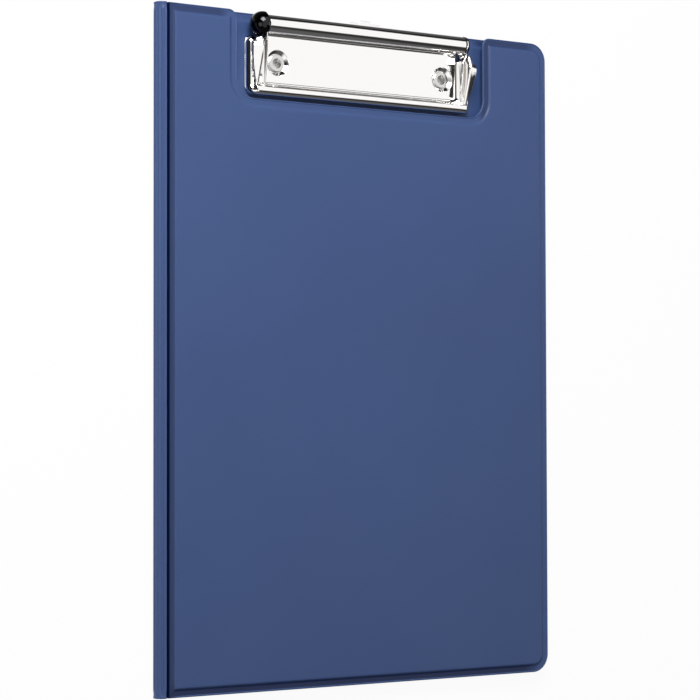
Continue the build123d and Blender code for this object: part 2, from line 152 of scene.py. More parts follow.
def tint(tree, factor, first, second):
    """A colour between two, by a factor. Either may come from another node."""
    ends = [end if hasattr(end, "is_output") else (*end, 1) for end in (first, second)]
    links = [(0, factor), (6, ends[0]), (7, ends[1])]
    return add_node(tree, "ShaderNodeMix", links, data_type="RGBA").outputs[2]


def bump(tree, shader, height, distance, under=None):
    """Bump of a real depth in metres, joined to the shader."""
    links = [("Height", height), ("Distance", distance), ("Strength", 1.0)]
    if under:
        links.append(("Normal", under.outputs["Normal"]))
    made = add_node(tree, "ShaderNodeBump", links)
    tree.links.new(made.outputs["Normal"], shader.inputs["Normal"])
    return made


print(f"noise is stretched from {NOISE_RUN[0]} to {NOISE_RUN[1]}")

# %% [markdown]
# The foil is soft PVC with a satin face and a very fine grain. Handling leaves broad, faint
# changes of gloss, which show as soft clouds in the reflected light. Two bumps do this, a fine one
# over a broad one, because one noise can't be both. Where two foils are welded together the
# plastic has flowed and is darker, and the same band carries painted shade: the edge slopes and
# the groove at the fold that face away from the light are darkened in colour. The band follows
# the outline, which no noise knows, so the mesh carries it as an attribute and the finish only
# reads that.

# %% Foil finish
WELD_AND_SHADE_COLOUR = (0.0, 0.006, 0.045)
FOIL_ROUGH, FOIL_ROUGH_RUN, FOIL_IOR = 0.42, (0.38, 0.47), 1.42
TONE_NOISE, GLOSS_NOISE = (9, 3), (14, 4)
SLACK_SCALE, SLACK_DEPTH = 28.0, 0.00018
GRAIN_SCALE = 2600.0
FOILS = {
    "blue_foil": ((0.039, 0.072, 0.193), (0.044, 0.082, 0.211), 0.000012),
    "pocket_foil": ((0.042, 0.08, 0.212), (0.046, 0.088, 0.23), 0.000006),
}


def foil_finish(name, dark, light, grain_depth):
    """Satin PVC foil that drifts a little between two tones, darker at its welds and painted shade.
    """
    material, tree, shader, coords = finish(name, light, FOIL_ROUGH, ior=FOIL_IOR)
    plain = tint(tree, vary(tree, coords, *TONE_NOISE, 0, 1), dark, light)
    # Painted shade: the weld attribute also carries the darkened edge slopes and fold groove, mixed
    # in here.
    weld = add_node(tree, "ShaderNodeAttribute", attribute_name="weld").outputs["Fac"]
    tree.links.new(tint(tree, weld, plain, WELD_AND_SHADE_COLOUR), shader.inputs["Base Color"])
    gloss = vary(tree, coords, *GLOSS_NOISE, *FOIL_ROUGH_RUN)
    tree.links.new(gloss, shader.inputs["Roughness"])
    broad = bump(tree, shader, noise(tree, coords, SLACK_SCALE), SLACK_DEPTH)
    cells = [("Vector", coords), ("Scale", GRAIN_SCALE)]
    grain = add_node(tree, "ShaderNodeTexVoronoi", cells).outputs["Distance"]
    bump(tree, shader, grain, grain_depth, under=broad)
    return material


FINISHES = {name: foil_finish(name, *values) for name, values in FOILS.items()}
print("foil finishes:", ", ".join(FOILS))

# %% [markdown]
# Nickel plate is a mirror with a faint warm tone. It is never perfectly smooth: pressing leaves
# shallow waves, and use leaves hair lines that run along the sheet. A Wave texture would make
# lines that are all alike, so a Mapping node stretches a noise along X instead. The rod's ball
# and cap are a near-black glossy metal, and the springs and the rod are bare steel.

# %% Metal finish
RUB_NOISE = (160, 3)
WAVE_SCALE = 60.0
HAIR_SCALE = (40, 2600, 2600)
METALS = {
    "nickel_plate": ((0.96, 0.945, 0.93), 0.05, 0.09, 2e-6, 1.5e-5),
    "rivet_nickel": ((0.7, 0.69, 0.67), 0.12, 0.2, 3e-6, 1e-5),
    "cap_nickel": ((0.03, 0.03, 0.032), 0.1, 0.16, 1e-6, 5e-6),
    "plain_steel": ((0.55, 0.55, 0.54), 0.25, 0.35, 8e-6, 1e-5),
    "spring_wire": ((0.4, 0.4, 0.4), 0.3, 0.4, 5e-6, 1e-5),
}


def metal_finish(name, colour, rough_low, rough_high, line_depth, wave_depth):
    """Plated or bare metal with hair lines along X and shallow waves."""
    material, tree, shader, coords = finish(name, colour, rough_low, metallic=1.0)
    gloss = vary(tree, coords, *RUB_NOISE, rough_low, rough_high)
    tree.links.new(gloss, shader.inputs["Roughness"])
    broad = bump(tree, shader, noise(tree, coords, WAVE_SCALE, 1.0), wave_depth)
    hair = [("Vector", coords), ("Scale", HAIR_SCALE)]
    stretched = add_node(tree, "ShaderNodeMapping", hair).outputs["Vector"]
    bump(tree, shader, noise(tree, stretched, 1.0), line_depth, under=broad)
    return material


FINISHES |= {name: metal_finish(name, *values) for name, values in METALS.items()}
print("metal finishes:", ", ".join(METALS))

# %% [markdown]
# Bushes are moulded black nylon, and the boards are grey pulp with visible fibres. Both are a
# mottled colour, an uneven gloss and a fine surface, so one function with other numbers is enough.

# %% Other finishes
MOTTLE_DETAIL, GLOSS_DETAIL, FIBRE_DETAIL = 4, 3, 6.0
PLAIN = {
    "black_nylon": ((0.015,) * 3, (0.022,) * 3, 0.3, 0.4, 300, 1e-5),
    "greyboard": ((0.3, 0.28, 0.25), (0.46, 0.44, 0.4), 0.8, 0.95, 120, 6e-5),
}


def plain_finish(name, dark, light, rough_low, rough_high, scale, depth):
    """Plastic or board: a mottled colour, uneven gloss and a fine surface."""
    material, tree, shader, coords = finish(name, light, rough_low)
    colour = tint(tree, vary(tree, coords, scale, MOTTLE_DETAIL, 0, 1), dark, light)
    tree.links.new(colour, shader.inputs["Base Color"])
    gloss = vary(tree, coords, scale * 2, GLOSS_DETAIL, rough_low, rough_high)
    tree.links.new(gloss, shader.inputs["Roughness"])
    bump(tree, shader, noise(tree, coords, scale * 6, FIBRE_DETAIL), depth)
    return material


FINISHES |= {name: plain_finish(name, *values) for name, values in PLAIN.items()}
print("finishes:", ", ".join(FINISHES))

# %% [markdown]
# ## Outlines
#
# Each panel has straight edges and round corners, and the cover also goes round the clip. An
# outline is a list of corners with a radius. Moved inwards, a corner that sticks out gets
# tighter and a corner that turns in gets wider, so every ring inside the outline has the same
# number of points and rings can be joined with plain quads.

# %% Outline rings
ARC_STEPS = 10
EDGE_STEP = 6.0


def outline_ring(corners, insets):
    """Points of the outline, in mm, moved in by one inset for each edge. It goes anticlockwise."""
    count = len(corners)
    places = [Vector(c[:2]) for c in corners]
    ways = [(places[(n + 1) % count] - places[n]).normalized() for n in range(count)]
    inward = [Vector((-w.y, w.x)) for w in ways]
    moved, arcs = [], []
    for n in range(count):
        moved.append(places[n] + inward[n] * insets[n] + inward[n - 1] * insets[n - 1])
    for n in range(count):
        before, after = ways[n - 1], ways[n]
        turns_in = before.cross(after) < 0
        inset = max(insets[n - 1], insets[n])
        radius = max(corners[n][2] + (inset if turns_in else -inset), 0.15)
        towards = -inward[n - 1] if turns_in else inward[n - 1]
        centre = moved[n] - before * radius + towards * radius
        arc = []
        for step in range(ARC_STEPS + 1):
            angle = math.pi / 2 * step / ARC_STEPS
            arc.append(centre + radius * (before * math.sin(angle) - towards * math.cos(angle)))
        arcs.append(arc)
    ring = []
    for n in range(count):
        ring += arcs[n]
        stop, following = arcs[n][-1], arcs[(n + 1) % count][0]
        length = (places[(n + 1) % count] - places[n]).length
        parts = max(1, round(length / EDGE_STEP))
        ring += [stop.lerp(following, k / parts) for k in range(1, parts)]
    return ring


print(f"a corner has {ARC_STEPS + 1} points, and an edge one about every {EDGE_STEP} mm")

# %% [markdown]
# The cut-out leaves room round the jaw at both sides and in front of it. Its floor has wide
# corners, and its mouth has small ones. It could be cut from a plain panel with a Boolean, but
# the weld goes round it, so it is part of the cover's outline.

# %% Panel corners
SEAM_FROM_BEND = 2.1
SEAM_X = SPINE_X + SEAM_FROM_BEND
FREE_R, NOTCH_R, MOUTH_R, SEAM_CORNER_R = 9.0, 9.0, 4.5, 0.3
NOTCH_SIDE_ROOM, NOTCH_FRONT_ROOM = 6.6, 1.6
notch_left = jaw_low.x - NOTCH_SIDE_ROOM
notch_right = jaw_high.x + NOTCH_SIDE_ROOM
notch_floor = jaw_low.y - NOTCH_FRONT_ROOM

BACK_CORNERS = [
    (SEAM_X, -TOP, SEAM_CORNER_R),
    (RIGHT, -TOP, FREE_R),
    (RIGHT, TOP, FREE_R),
    (SEAM_X, TOP, SEAM_CORNER_R),
]
COVER_CORNERS = BACK_CORNERS[:3] + [
    (notch_right, TOP, MOUTH_R),
    (notch_right, notch_floor, NOTCH_R),
    (notch_left, notch_floor, NOTCH_R),
    (notch_left, TOP, MOUTH_R),
    BACK_CORNERS[3],
]
print(f"cut-out from x {notch_left:.1f} to {notch_right:.1f}, floor at y {notch_floor:.1f}")

# %% [markdown]
# ## Foil panels
#
# Real panels are two foils pulled over a board and welded together round it. The weld leaves a
# thin round bead on the very edge, then a flat groove, and then the foil climbs softly over the
# board. A bevel can't make that profile, and sculpting would not be even. So the height above the
# panel's middle is a function of the distance from the edge. Next to the fold there is no weld:
# the foil dips into a groove instead.

# %% Foil profile
BEAD_R = 0.45
BEAD_RISE = 0.65
RIM_WIDTH = 3.0
CLIMB = 1.7
CLIMB_RINGS = 8
FOLD_CLIMB_FROM, FOLD_CLIMB = 0.5, 2.2
GROOVE_LIFT = 0.45
FLAT_RING = 0.9
RING_INSETS = [0, 0.02, 0.07, 0.15, 0.27, 0.4, 0.53, 0.66, 0.76, 0.84, 0.95, 1.1, 1.5, 2.2]
RING_INSETS += [RIM_WIDTH + CLIMB * n / CLIMB_RINGS for n in range(CLIMB_RINGS + 1)]
RING_INSETS += [RING_INSETS[-1] + FLAT_RING]


def smooth(value):
    """0 below 0, 1 above 1, and a soft S between."""
    value = min(max(value, 0.0), 1.0)
    return value * value * (3 - 2 * value)


def foil_height(inset, x, half):
    """Height of the foil over the panel's middle, from its inset and its place across the page."""
    bead = 0.0
    if inset < 2 * BEAD_R:
        bead = BEAD_RISE * math.sqrt(max(0.0, 1 - ((inset - BEAD_R) / BEAD_R) ** 2))
    climb = smooth((inset - RIM_WIDTH) / CLIMB)
    climb *= smooth((x - SEAM_X - FOLD_CLIMB_FROM) / FOLD_CLIMB)
    rim = max(bead, GROOVE_LIFT * smooth(inset / BEAD_R))
    return rim + (half - GROOVE_LIFT) * climb


print(f"{len(RING_INSETS)} rings on each face, the last {RING_INSETS[-1]:.1f} mm from the edge")

# %% [markdown]
# The weld is a darker band inside the bead, and the same band carries painted shade: the slopes
# at the edges and the groove at the fold, which face away from the light, are darkened in colour.
# It is darkest at the page's foot, and it is left out along the free edge and beside the clip.
# Each point gets its share, from 0 to 1, and the foil's finish mixes the colours by it.

# %% Weld and painted shade share
WELD_FROM, WELD_TO = 0.8, 3.3
WELD_START, WELD_FADE = 0.3, 1.2
WELD_SHADE, FOOT_SHARE = 0.6, 0.75


def weld_and_shade_share(inset, place):
    """How dark the weld and its painted shade are here: most at the foot, least at the free edge
    and clip.
    """
    start = smooth((inset - WELD_FROM) / WELD_START)
    # Beside the fold the band starts at the very edge: painted shade on the slope out of the
    # groove.
    if place.x < SEAM_X + FOLD_CLIMB:
        start = 1.0
    # The free edge, which faces the light, gets no band. The foot gets more painted shade, and the
    # clip's sides get none.
    free = smooth((RIGHT - FREE_R / 2 - place.x) / FREE_R)
    foot = 1 - smooth((place.y + TOP - RIM_WIDTH - CLIMB) / CLIMB)
    beside = smooth((place.x - notch_left + FREE_R) / RIM_WIDTH)
    beside *= 1 - smooth((place.x - notch_right + RIM_WIDTH) / RIM_WIDTH)
    if place.y > 0:
        # Painted shade: the bead on the cut-out's left edge is made fully dark, so the jaw's rim
        # mirrors it dark.
        if inset < BEAD_R / 2 and abs(place.x - notch_left) < CLIMB:
            return 1.0
        start *= 1 - beside
    shade = WELD_SHADE + (1 - WELD_SHADE) * foot * FOOT_SHARE
    return shade * start * free * (1 - smooth((inset - WELD_TO) / WELD_FADE))


print(f"weld from {WELD_FROM} to {WELD_TO} mm inside the edge")

# %% [markdown]
# A panel skin is a closed shell: rings across the outer face, then back across the inner face,
# with one large flat face in the middle of each. Solidify could give a flat sheet its thickness,
# but here the bead is solid and the foil beside it is thin, so both faces are drawn. The ring on
# the fold's side moves in by its own amounts, because nothing is welded there.

# %% Mesh helpers
SMOOTH_BELOW = math.radians(40)
MERGE_WITHIN = 1e-4


def placed(name, data):
    """A new object in the scene."""
    made = bpy.data.objects.new(name, data)
    bpy.context.scene.collection.objects.link(made)
    return made


def as_mesh(bm, name):
    """A bmesh as a mesh of its own."""
    mesh = bpy.data.meshes.new(name)
    bm.to_mesh(mesh)
    bm.free()
    return mesh


def quads(bm, one, two, ring=True):
    """Quads between two rows of points, which are closed round when they are rings."""
    for n in range(0 if ring else 1, len(one)):
        bm.faces.new((one[n - 1], one[n], two[n], two[n - 1]))


def mesh_from(bm, name):
    """A bmesh as a mesh in metres, with outward faces and smooth shading."""
    bmesh.ops.recalc_face_normals(bm, faces=bm.faces)
    mesh = as_mesh(bm, name)
    mesh.transform(Matrix.Scale(MM, 4))
    mesh.shade_smooth()
    mesh.set_sharp_from_angle(angle=SMOOTH_BELOW)
    return mesh


def keep(name, mesh, body, slot, *nodes):
    """A finished mesh as a piece that rides on a body and stands for CAD nodes."""
    piece = placed(name, mesh)
    mesh.materials.clear()
    mesh.materials.append(FINISHES[slot])
    if body:
        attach(piece, body)
    if nodes:
        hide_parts(*nodes)
    print(f"{name}: {len(mesh.polygons)} faces")
    return piece


print(f"edges sharper than {math.degrees(SMOOTH_BELOW):.0f} degrees stay sharp")

# %% Panel shell


def closed_skin(name, corners, middle, half, side):
    """The shell with both of its large flat faces."""
    bm = bmesh.new()
    weld = bm.verts.layers.float.new("weld")
    fold_share = (FOLD_CLIMB_FROM + FOLD_CLIMB + FLAT_RING) / RING_INSETS[-1]
    rims = []
    for inner in (False, True):
        loops = []
        for inset in RING_INSETS:
            insets = [inset] * (len(corners) - 1) + [inset * fold_share]
            loop = []
            for point in outline_ring(corners, insets):
                height = foil_height(inset, point.x, half)
                if inner:
                    height = max(0.0, height - FOIL) if inset > 2 * BEAD_R else 0.0
                vert = bm.verts.new((point.x, point.y, middle + side * height))
                # Each point's share of the weld's colour and of the painted edge shade.
                vert[weld] = weld_and_shade_share(inset, point)
                loop.append(vert)
            loops.append(loop)
        for one, two in zip(loops, loops[1:]):
            quads(bm, one, two)
        bm.faces.new(loops[-1])
        rims.append(loops[0])
    quads(bm, *rims)
    bmesh.ops.remove_doubles(bm, verts=bm.verts, dist=MERGE_WITHIN)
    return mesh_from(bm, name)


print("a skin has", 2 * len(RING_INSETS), "rings")

# %% [markdown]
# The two rivets go right through the back, so both of its skins have a hole for each. A hole in
# a large flat face is what a Boolean does best. The modifier's result is taken as a plain mesh.

# %% Holes for the rivets
RIVET_HOLE_R, ROUND_STEPS = 3.0, 48
RIVETS = [sum(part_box(f"rivet_{side}"), Vector()) / 2 for side in ("left", "right")]


def applied(mesh, kind, sockets=(), **values):
    """The plain mesh that one modifier makes from a mesh."""
    holder = placed("holder", mesh)
    modifier = holder.modifiers.new("step", kind)
    for key, value in values.items():
        setattr(modifier, key, value)
    for identifier, value in sockets:
        modifier[identifier] = value
    evaluated = holder.evaluated_get(bpy.context.evaluated_depsgraph_get())
    made = bpy.data.meshes.new_from_object(evaluated)
    bpy.data.objects.remove(holder)
    return made


def pierced(mesh):
    """The mesh with a round hole at each rivet."""
    for place in RIVETS:
        bm = bmesh.new()
        bmesh.ops.create_cone(
            bm,
            segments=ROUND_STEPS,
            radius1=RIVET_HOLE_R * MM,
            radius2=RIVET_HOLE_R * MM,
            depth=4 * THICK * MM,
            cap_ends=True,
            matrix=Matrix.Translation(place),
        )
        drill = placed("drill", as_mesh(bm, "drill"))
        mesh = applied(mesh, "BOOLEAN", operation="DIFFERENCE", object=drill)
        bpy.data.objects.remove(drill)
    return mesh


print("rivets at, mm:", [[round(v / MM, 1) for v in place] for place in RIVETS])

# %% Panel skins
COVER = ("cover", COVER_CORNERS, COVER_MID, COVER_HALF)
BACK = ("back", BACK_CORNERS, BACK_MID, BACK_HALF)
for name, node, panel, side in (
    ("cover_skin", "cover_outer_skin", COVER, 1),
    ("cover_liner", "cover_inner_liner", COVER, -1),
    ("back_skin", "back_outer_skin", BACK, -1),
    ("back_liner", "back_inner_liner", BACK, 1),
):
    body, *sizes = panel
    skin = closed_skin(name, *sizes, side)
    if body == "back":
        skin = pierced(skin)
    keep(name + "_foil", skin, body, "blue_foil", node)

# %% [markdown]
# ## The ribbed fold
#
# The two foils are welded together along the fold and pressed into fine ribs, so that the book
# opens flat. The strip is swept along the page on a path: from the groove beside the panel,
# over the flat band, and round the bend to the middle of the spine. It is a closed strip first.
# Geometry Nodes then press the ribs into its outer face, because they follow the surface: the
# valleys are spaced by the distance round the fold, they wander a little, and they fade out
# before the strip's ends.

# %% Fold path
RIB_PITCH = 1.85
RIB_DEPTH = 0.42
RIB_WANDER = 0.25
PLAIN_END = 4.0
STRIP_THICK = 2 * FOIL
QUARTER = SPINE_R * math.pi / 2
BAND = SEAM_X - SPINE_X
GROOVE_FROM_CREST = 3.5 * RIB_PITCH
GROOVE_DEPTH, GROOVE_WALL = 2.2, 0.6
SEAM_DROP = THICK - (COVER_MID + GROOVE_LIFT)


def fold_path(distance):
    """Place and outward way of the cover strip's outer face, round from the spine's middle."""
    if distance < QUARTER:
        angle = math.pi - distance / SPINE_R
        out = Vector((math.cos(angle), 0, math.sin(angle)))
        return Vector((SPINE_X, 0, SPINE_R)) + SPINE_R * out, out
    dip = GROOVE_DEPTH * smooth((distance - GROOVE_FROM_CREST) / GROOVE_WALL)
    left = QUARTER + BAND - distance
    dip -= (GROOVE_DEPTH - SEAM_DROP) * (1 - smooth(left / GROOVE_WALL))
    place = Vector((SPINE_X + distance - QUARTER, 0, THICK - dip))
    return place, Vector((0, 0, 1))


print(f"from the spine's middle to the panel, {QUARTER + BAND:.1f} mm")

# %% Fold strip before its ribs
ACROSS_STEPS, ALONG_STEPS = 72, 150
END_STEPS = (0, 0.1, 0.25, 0.45, 0.9, 1.5, 2.2, 3.0, 4.0, 5.0)
END_ROUND, END_ROUND_DEEP = 0.45, 0.35
END_WELD_FROM, END_WELD_IN, END_WELD_TO, END_WELD_OUT, END_WELD_DEEP = 0.5, 0.6, 2.2, 1.4, 0.2
ALONG = [-TOP + end for end in END_STEPS]
inner_length = 2 * (TOP - END_STEPS[-1])
ALONG += [ALONG[-1] + inner_length * n / ALONG_STEPS for n in range(1, ALONG_STEPS)]
ALONG += [TOP - end for end in reversed(END_STEPS)]


def end_drop(end):
    """How far the strip's face lies back near its top and bottom ends, in mm."""
    round_it = 1 - math.sqrt(1 - (1 - min(end / END_ROUND, 1.0)) ** 2)
    weld = smooth((end - END_WELD_FROM) / END_WELD_IN)
    weld *= 1 - smooth((end - END_WELD_TO) / END_WELD_OUT)
    return END_ROUND_DEEP * round_it + END_WELD_DEEP * weld


def close_sheet(bm, face, back):
    """Quads over two grids of points and round their four edges."""
    for grid in (face, back):
        for one, two in zip(grid, grid[1:]):
            quads(bm, one, two, ring=False)
    for k in (0, -1):
        quads(bm, face[k], back[k], ring=False)
        quads(bm, [row[k] for row in face], [row[k] for row in back], ring=False)


def fold_strip(side):
    """Half of the fold, from the panel's groove to the middle of the spine."""
    bm = bmesh.new()
    round_the_fold = bm.verts.layers.float.new("round_the_fold")
    outward = bm.verts.layers.float_vector.new("outward")
    weld = bm.verts.layers.float.new("weld")
    grids = []
    for outer in (True, False):
        grid = []
        for y in ALONG:
            drop = end_drop(TOP - abs(y))
            row = []
            for n in range(ACROSS_STEPS + 1):
                distance = (QUARTER + BAND) * n / ACROSS_STEPS
                place, out = fold_path(distance)
                place = place - out * (drop if outer else STRIP_THICK - drop)
                if side < 0:
                    place.z, out.z = THICK - place.z, -out.z
                vert = bm.verts.new((place.x, y, place.z))
                vert[round_the_fold] = distance if outer else 0.0
                # The groove is darkened in colour: partly the weld, partly painted shade of the
                # deep slit.
                vert[weld] = smooth((distance - GROOVE_FROM_CREST) / GROOVE_WALL)
                vert[outward] = out if outer else Vector((0, 0, 0))
                row.append(vert)
            grid.append(row)
        grids.append(grid)
    close_sheet(bm, *grids)
    return mesh_from(bm, "fold_strip")


print(f"{len(ALONG)} rows of {ACROSS_STEPS + 1} points on each face")

# %% [markdown]
# The ribs could be modelled one by one, but a tree keeps their pitch, depth, plain ends and
# wander as inputs. A valley is a cosine of the distance round the fold, and a noise along the
# page shifts it sideways, because real ribs are pressed into warm foil and aren't quite straight.

# %% Tree helpers


def new_tree(name, made, inputs):
    """A Geometry Nodes tree with named inputs, and the identifier of each."""
    tree = bpy.data.node_groups.new(name, "GeometryNodeTree")
    identifiers = {}
    for label, kind, value in inputs:
        kind = "NodeSocket" + kind
        socket = tree.interface.new_socket(name=label, in_out="INPUT", socket_type=kind)
        if value is not None:
            socket.default_value = value
        identifiers[label] = socket.identifier
    tree.interface.new_socket(name=made, in_out="OUTPUT", socket_type="NodeSocketGeometry")
    return tree, identifiers


def finish_tree(tree, shape, material):
    """The tree's end: real geometry with its material."""
    real = add_node(tree, "GeometryNodeRealizeInstances", [(0, shape)]).outputs[0]
    done = add_node(tree, "GeometryNodeSetMaterial", [(0, real), ("Material", material)])
    add_node(tree, "NodeGroupOutput", [(0, done.outputs[0])])


def grown(tree, identifiers, mesh, name, values):
    """The plain mesh that a tree makes from a start mesh."""
    sockets = [(identifiers[label], value) for label, value in values.items()]
    made = applied(mesh, "NODES", sockets, node_group=tree)
    made.name = name
    return made


print("a tree ends in Realize Instances and Set Material")

# %% Rib tree
WANDER_SCALE = (7.3, 45.0, 1.0)
FADE_FROM = 0.7
RIB_INPUTS = [
    ("Strip", "Geometry", None),
    ("Rib Pitch", "Float", RIB_PITCH),
    ("Rib Depth", "Float", RIB_DEPTH * MM),
    ("Plain End", "Float", PLAIN_END * MM),
    ("Half Height", "Float", TOP * MM),
    ("Wander", "Float", RIB_WANDER),
    ("Last Rib", "Float", GROOVE_FROM_CREST),
    ("Foil", "Material", None),
]


def rib_tree():
    """A tree that presses ribs into the strip's outer face."""
    tree, identifiers = new_tree("press_ribs", "Ribs", RIB_INPUTS)
    given = add_node(tree, "NodeGroupInput").outputs
    place = add_node(tree, "GeometryNodeInputPosition").outputs[0]
    along = add_node(tree, "ShaderNodeSeparateXYZ", [(0, place)]).outputs[1]
    carried = []
    for name, kind in (("round_the_fold", "FLOAT"), ("outward", "FLOAT_VECTOR")):
        read = "GeometryNodeInputNamedAttribute"
        carried.append(add_node(tree, read, [("Name", name)], data_type=kind).outputs[0])
    distance, out = carried
    row = maths(tree, "ROUND", maths(tree, "DIVIDE", distance, given["Rib Pitch"]))
    where = add_node(tree, "ShaderNodeCombineXYZ", [(0, row), (1, along)]).outputs[0]
    links = [(0, where), (1, WANDER_SCALE)]
    stretched = add_node(tree, "ShaderNodeVectorMath", links, operation="MULTIPLY").outputs[0]
    sideways = maths(tree, "SUBTRACT", noise(tree, stretched, 1.0), 0.5)
    shift = maths(tree, "MULTIPLY", sideways, given["Wander"])
    turn = maths(tree, "DIVIDE", maths(tree, "ADD", distance, shift), given["Rib Pitch"])
    wave = maths(tree, "COSINE", maths(tree, "MULTIPLY", turn, 2 * math.pi))
    valley = maths(tree, "MULTIPLY", maths(tree, "ADD", 1.0, wave), 0.5)
    end = maths(tree, "SUBTRACT", given["Half Height"], maths(tree, "ABSOLUTE", along))
    fade_from = maths(tree, "MULTIPLY", given["Plain End"], FADE_FROM)
    fade = spread(tree, end, fade_from, given["Plain End"], interpolation_type="SMOOTHSTEP")
    within = maths(tree, "LESS_THAN", distance, given["Last Rib"])
    depth = maths(tree, "MULTIPLY", maths(tree, "MULTIPLY", valley, fade), given["Rib Depth"])
    push = maths(tree, "MULTIPLY", maths(tree, "MULTIPLY", depth, within), -1.0)
    offset = add_node(tree, "ShaderNodeVectorMath", [(0, out), (3, push)], operation="SCALE")
    links = [(0, given["Strip"]), ("Offset", offset.outputs[0])]
    pressed = add_node(tree, "GeometryNodeSetPosition", links).outputs[0]
    finish_tree(tree, pressed, given["Foil"])
    return tree, identifiers


press_ribs, rib_sockets = rib_tree()
print("rib tree:", len(press_ribs.nodes), "nodes, inputs", ", ".join(rib_sockets))

# %% Ribbed fold
for body, side, start_z in (("cover", 1, THICK), ("back", -1, 0.0)):
    foil = {"Foil": FINISHES["blue_foil"]}
    ribbed = grown(press_ribs, rib_sockets, fold_strip(side), f"fold_{body}", foil)
    nodes = ("spine_outer_skin", "spine_inner_liner")
    piece = keep(f"fold_foil_{body}", ribbed, None, "blue_foil", *nodes)
    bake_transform(piece)

# %% [markdown]
# ## The clip
#
# The clip's solids already have the pressed shapes. Real sheet has no sharp edge, and nickel
# shows every edge as a bright or dark line, so each piece is a copy of its solid with its
# loose triangles merged, its flat faces joined and its edges rounded by a bevel.

# %% Rounded copies
JOIN_BELOW, ROUND_ABOVE, SHARP_ABOVE = (math.radians(a) for a in (1, 32, 50))
EDGE_SEGMENTS = 3
SOLID_MERGE = 2e-6
EYE_EDGE, PLATE_EDGE = 0.3, 0.22


def rounded_copy(node, width):
    """A merged copy of a CAD node with rounded edges, as a plain mesh."""
    bm = bmesh.new()
    bm.from_mesh(frame["nodes"][node].data)
    bmesh.ops.remove_doubles(bm, verts=bm.verts, dist=SOLID_MERGE)
    bmesh.ops.dissolve_limit(bm, angle_limit=JOIN_BELOW, verts=bm.verts, edges=bm.edges)
    made = applied(
        as_mesh(bm, node),
        "BEVEL",
        width=width * MM,
        segments=EDGE_SEGMENTS,
        limit_method="ANGLE",
        angle_limit=ROUND_ABOVE,
    )
    made.shade_smooth()
    made.set_sharp_from_angle(angle=SHARP_ABOVE)
    return made


eye_mesh = rounded_copy("hanging_eye", EYE_EDGE)
keep("hanging_eye_pressed", eye_mesh, "eye", "nickel_plate", "hanging_eye")

# %% [markdown]
# Pressing can't make a hard corner, so each dish round a rivet slopes down softly. A bevel as
# wide as that would eat into the rivet's hole. So the wall is a ring turned round the rivet, and
# it is added to the plate's copy.

# %% Plate with its dishes
SHEET = 0.8
BARREL_R = 4.6
DISH_WALL = [(6.6, 0.03), (6.45, 0.02), (6.25, -0.06), (6.0, -0.2), (4.4, -1.25), (4.2, -1.37)]
DISH_WALL += [(4.0, -1.45), (3.8, -1.5), (3.6, -1.53)]
DISH_UNDER = [(3.6, -2.2), (6.6, -0.5)]
rod_low, rod_high = (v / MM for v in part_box("pivot_rod"))
AXIS_Y, AXIS_Z = (rod_low.y + rod_high.y) / 2, (rod_low.z + rod_high.z) / 2
PLATE_TOP = AXIS_Z - BARREL_R + SHEET


def turned(bm, section, point_at):
    """A closed section turned round an axis. Each row gives a point for a cosine and a sine."""
    rings = []
    for row in section:
        ring = []
        for n in range(ROUND_STEPS):
            angle = 2 * math.pi * n / ROUND_STEPS
            ring.append(bm.verts.new(point_at(*row, math.cos(angle), math.sin(angle))))
        rings.append(ring)
    for k in range(len(rings)):
        quads(bm, rings[k - 1], rings[k])


def dish(bm, place):
    """The ring round one rivet, closed underneath."""
    x, y = place.x / MM, place.y / MM
    turned(bm, DISH_WALL + DISH_UNDER, lambda r, z, c, s: (x + r * c, y + r * s, PLATE_TOP + z))


plate_bm = bmesh.new()
for place in RIVETS:
    dish(plate_bm, place)
both = bmesh.new()
both.from_mesh(rounded_copy("clip_base_plate", PLATE_EDGE))
both.from_mesh(mesh_from(plate_bm, "dishes"))
plate_mesh = as_mesh(both, "base_plate")
keep("clip_base_plate_pressed", plate_mesh, "back", "nickel_plate", "clip_base_plate")

# %% [markdown]
# ## The jaw
#
# The jaw is one sheet with a rolled rim round three sides. The rim is a section swept round the
# outline: a low roll with a thin lip at the sides, and a taller roll with a flange at the front,
# where it presses the paper. A curve with a bevel object has one section only, so the rim is
# lofted: every point of the section has a place for the sides and one for the front, and the
# corners go from one to the other.

# %% Jaw rim
BAR_R = 2.8
RIM_R_FRONT, RIM_R_REAR = 5.0, 3.6
JAW_LIFT, JAW_REAR_DROP = 0.3, 10.6
JAW_BASE = back_high.z + JAW_LIFT
RIDGE_SIDE, RIDGE_FRONT = 3.05, 2 * BAR_R
LIP, LIP_RISE, LIP_FOOT = 0.35, 0.3, 0.4
LIP_EDGE = [(0, 0), (0, 0.25), (0.12, LIP_RISE), (LIP, LIP_RISE)]
SHELF_END = 8.6
CREASE, CREASE_DEEP = 0.16, 0.14
REAR_INSET = 3.0
ROLL_STEPS, FLAT_STEPS = 10, 5
BAR_BACK = [math.radians(17 * n) for n in range(1, 6)]
BAR_FOOT = [(0.5, 0), (0.15, 0.15), (0, 0.5), (0, 1.2)]
FLANGE = [(5.72, 2.55), (6.1, 2.2), (6.6, 2.15), (6.6, 1.35), (5.8, 1.4), (5.1, 1.9)]
jaw_rear = TOP - JAW_REAR_DROP
JAW_CORNERS = [
    (jaw_low.x, jaw_rear, RIM_R_REAR),
    (jaw_low.x, jaw_low.y, RIM_R_FRONT),
    (jaw_high.x, jaw_low.y, RIM_R_FRONT),
    (jaw_high.x, jaw_rear, RIM_R_REAR),
]


def roll(start, foot, top, sheet):
    """Points of a quarter roll from its foot to its ridge, as distance from the edge and height."""
    out = []
    for n in range(ROLL_STEPS + 1):
        angle = math.pi / 2 * n / ROLL_STEPS
        across, up = BAR_R - start - sheet, top - foot - sheet
        out.append((BAR_R - across * math.cos(angle), foot + up * math.sin(angle)))
    return out


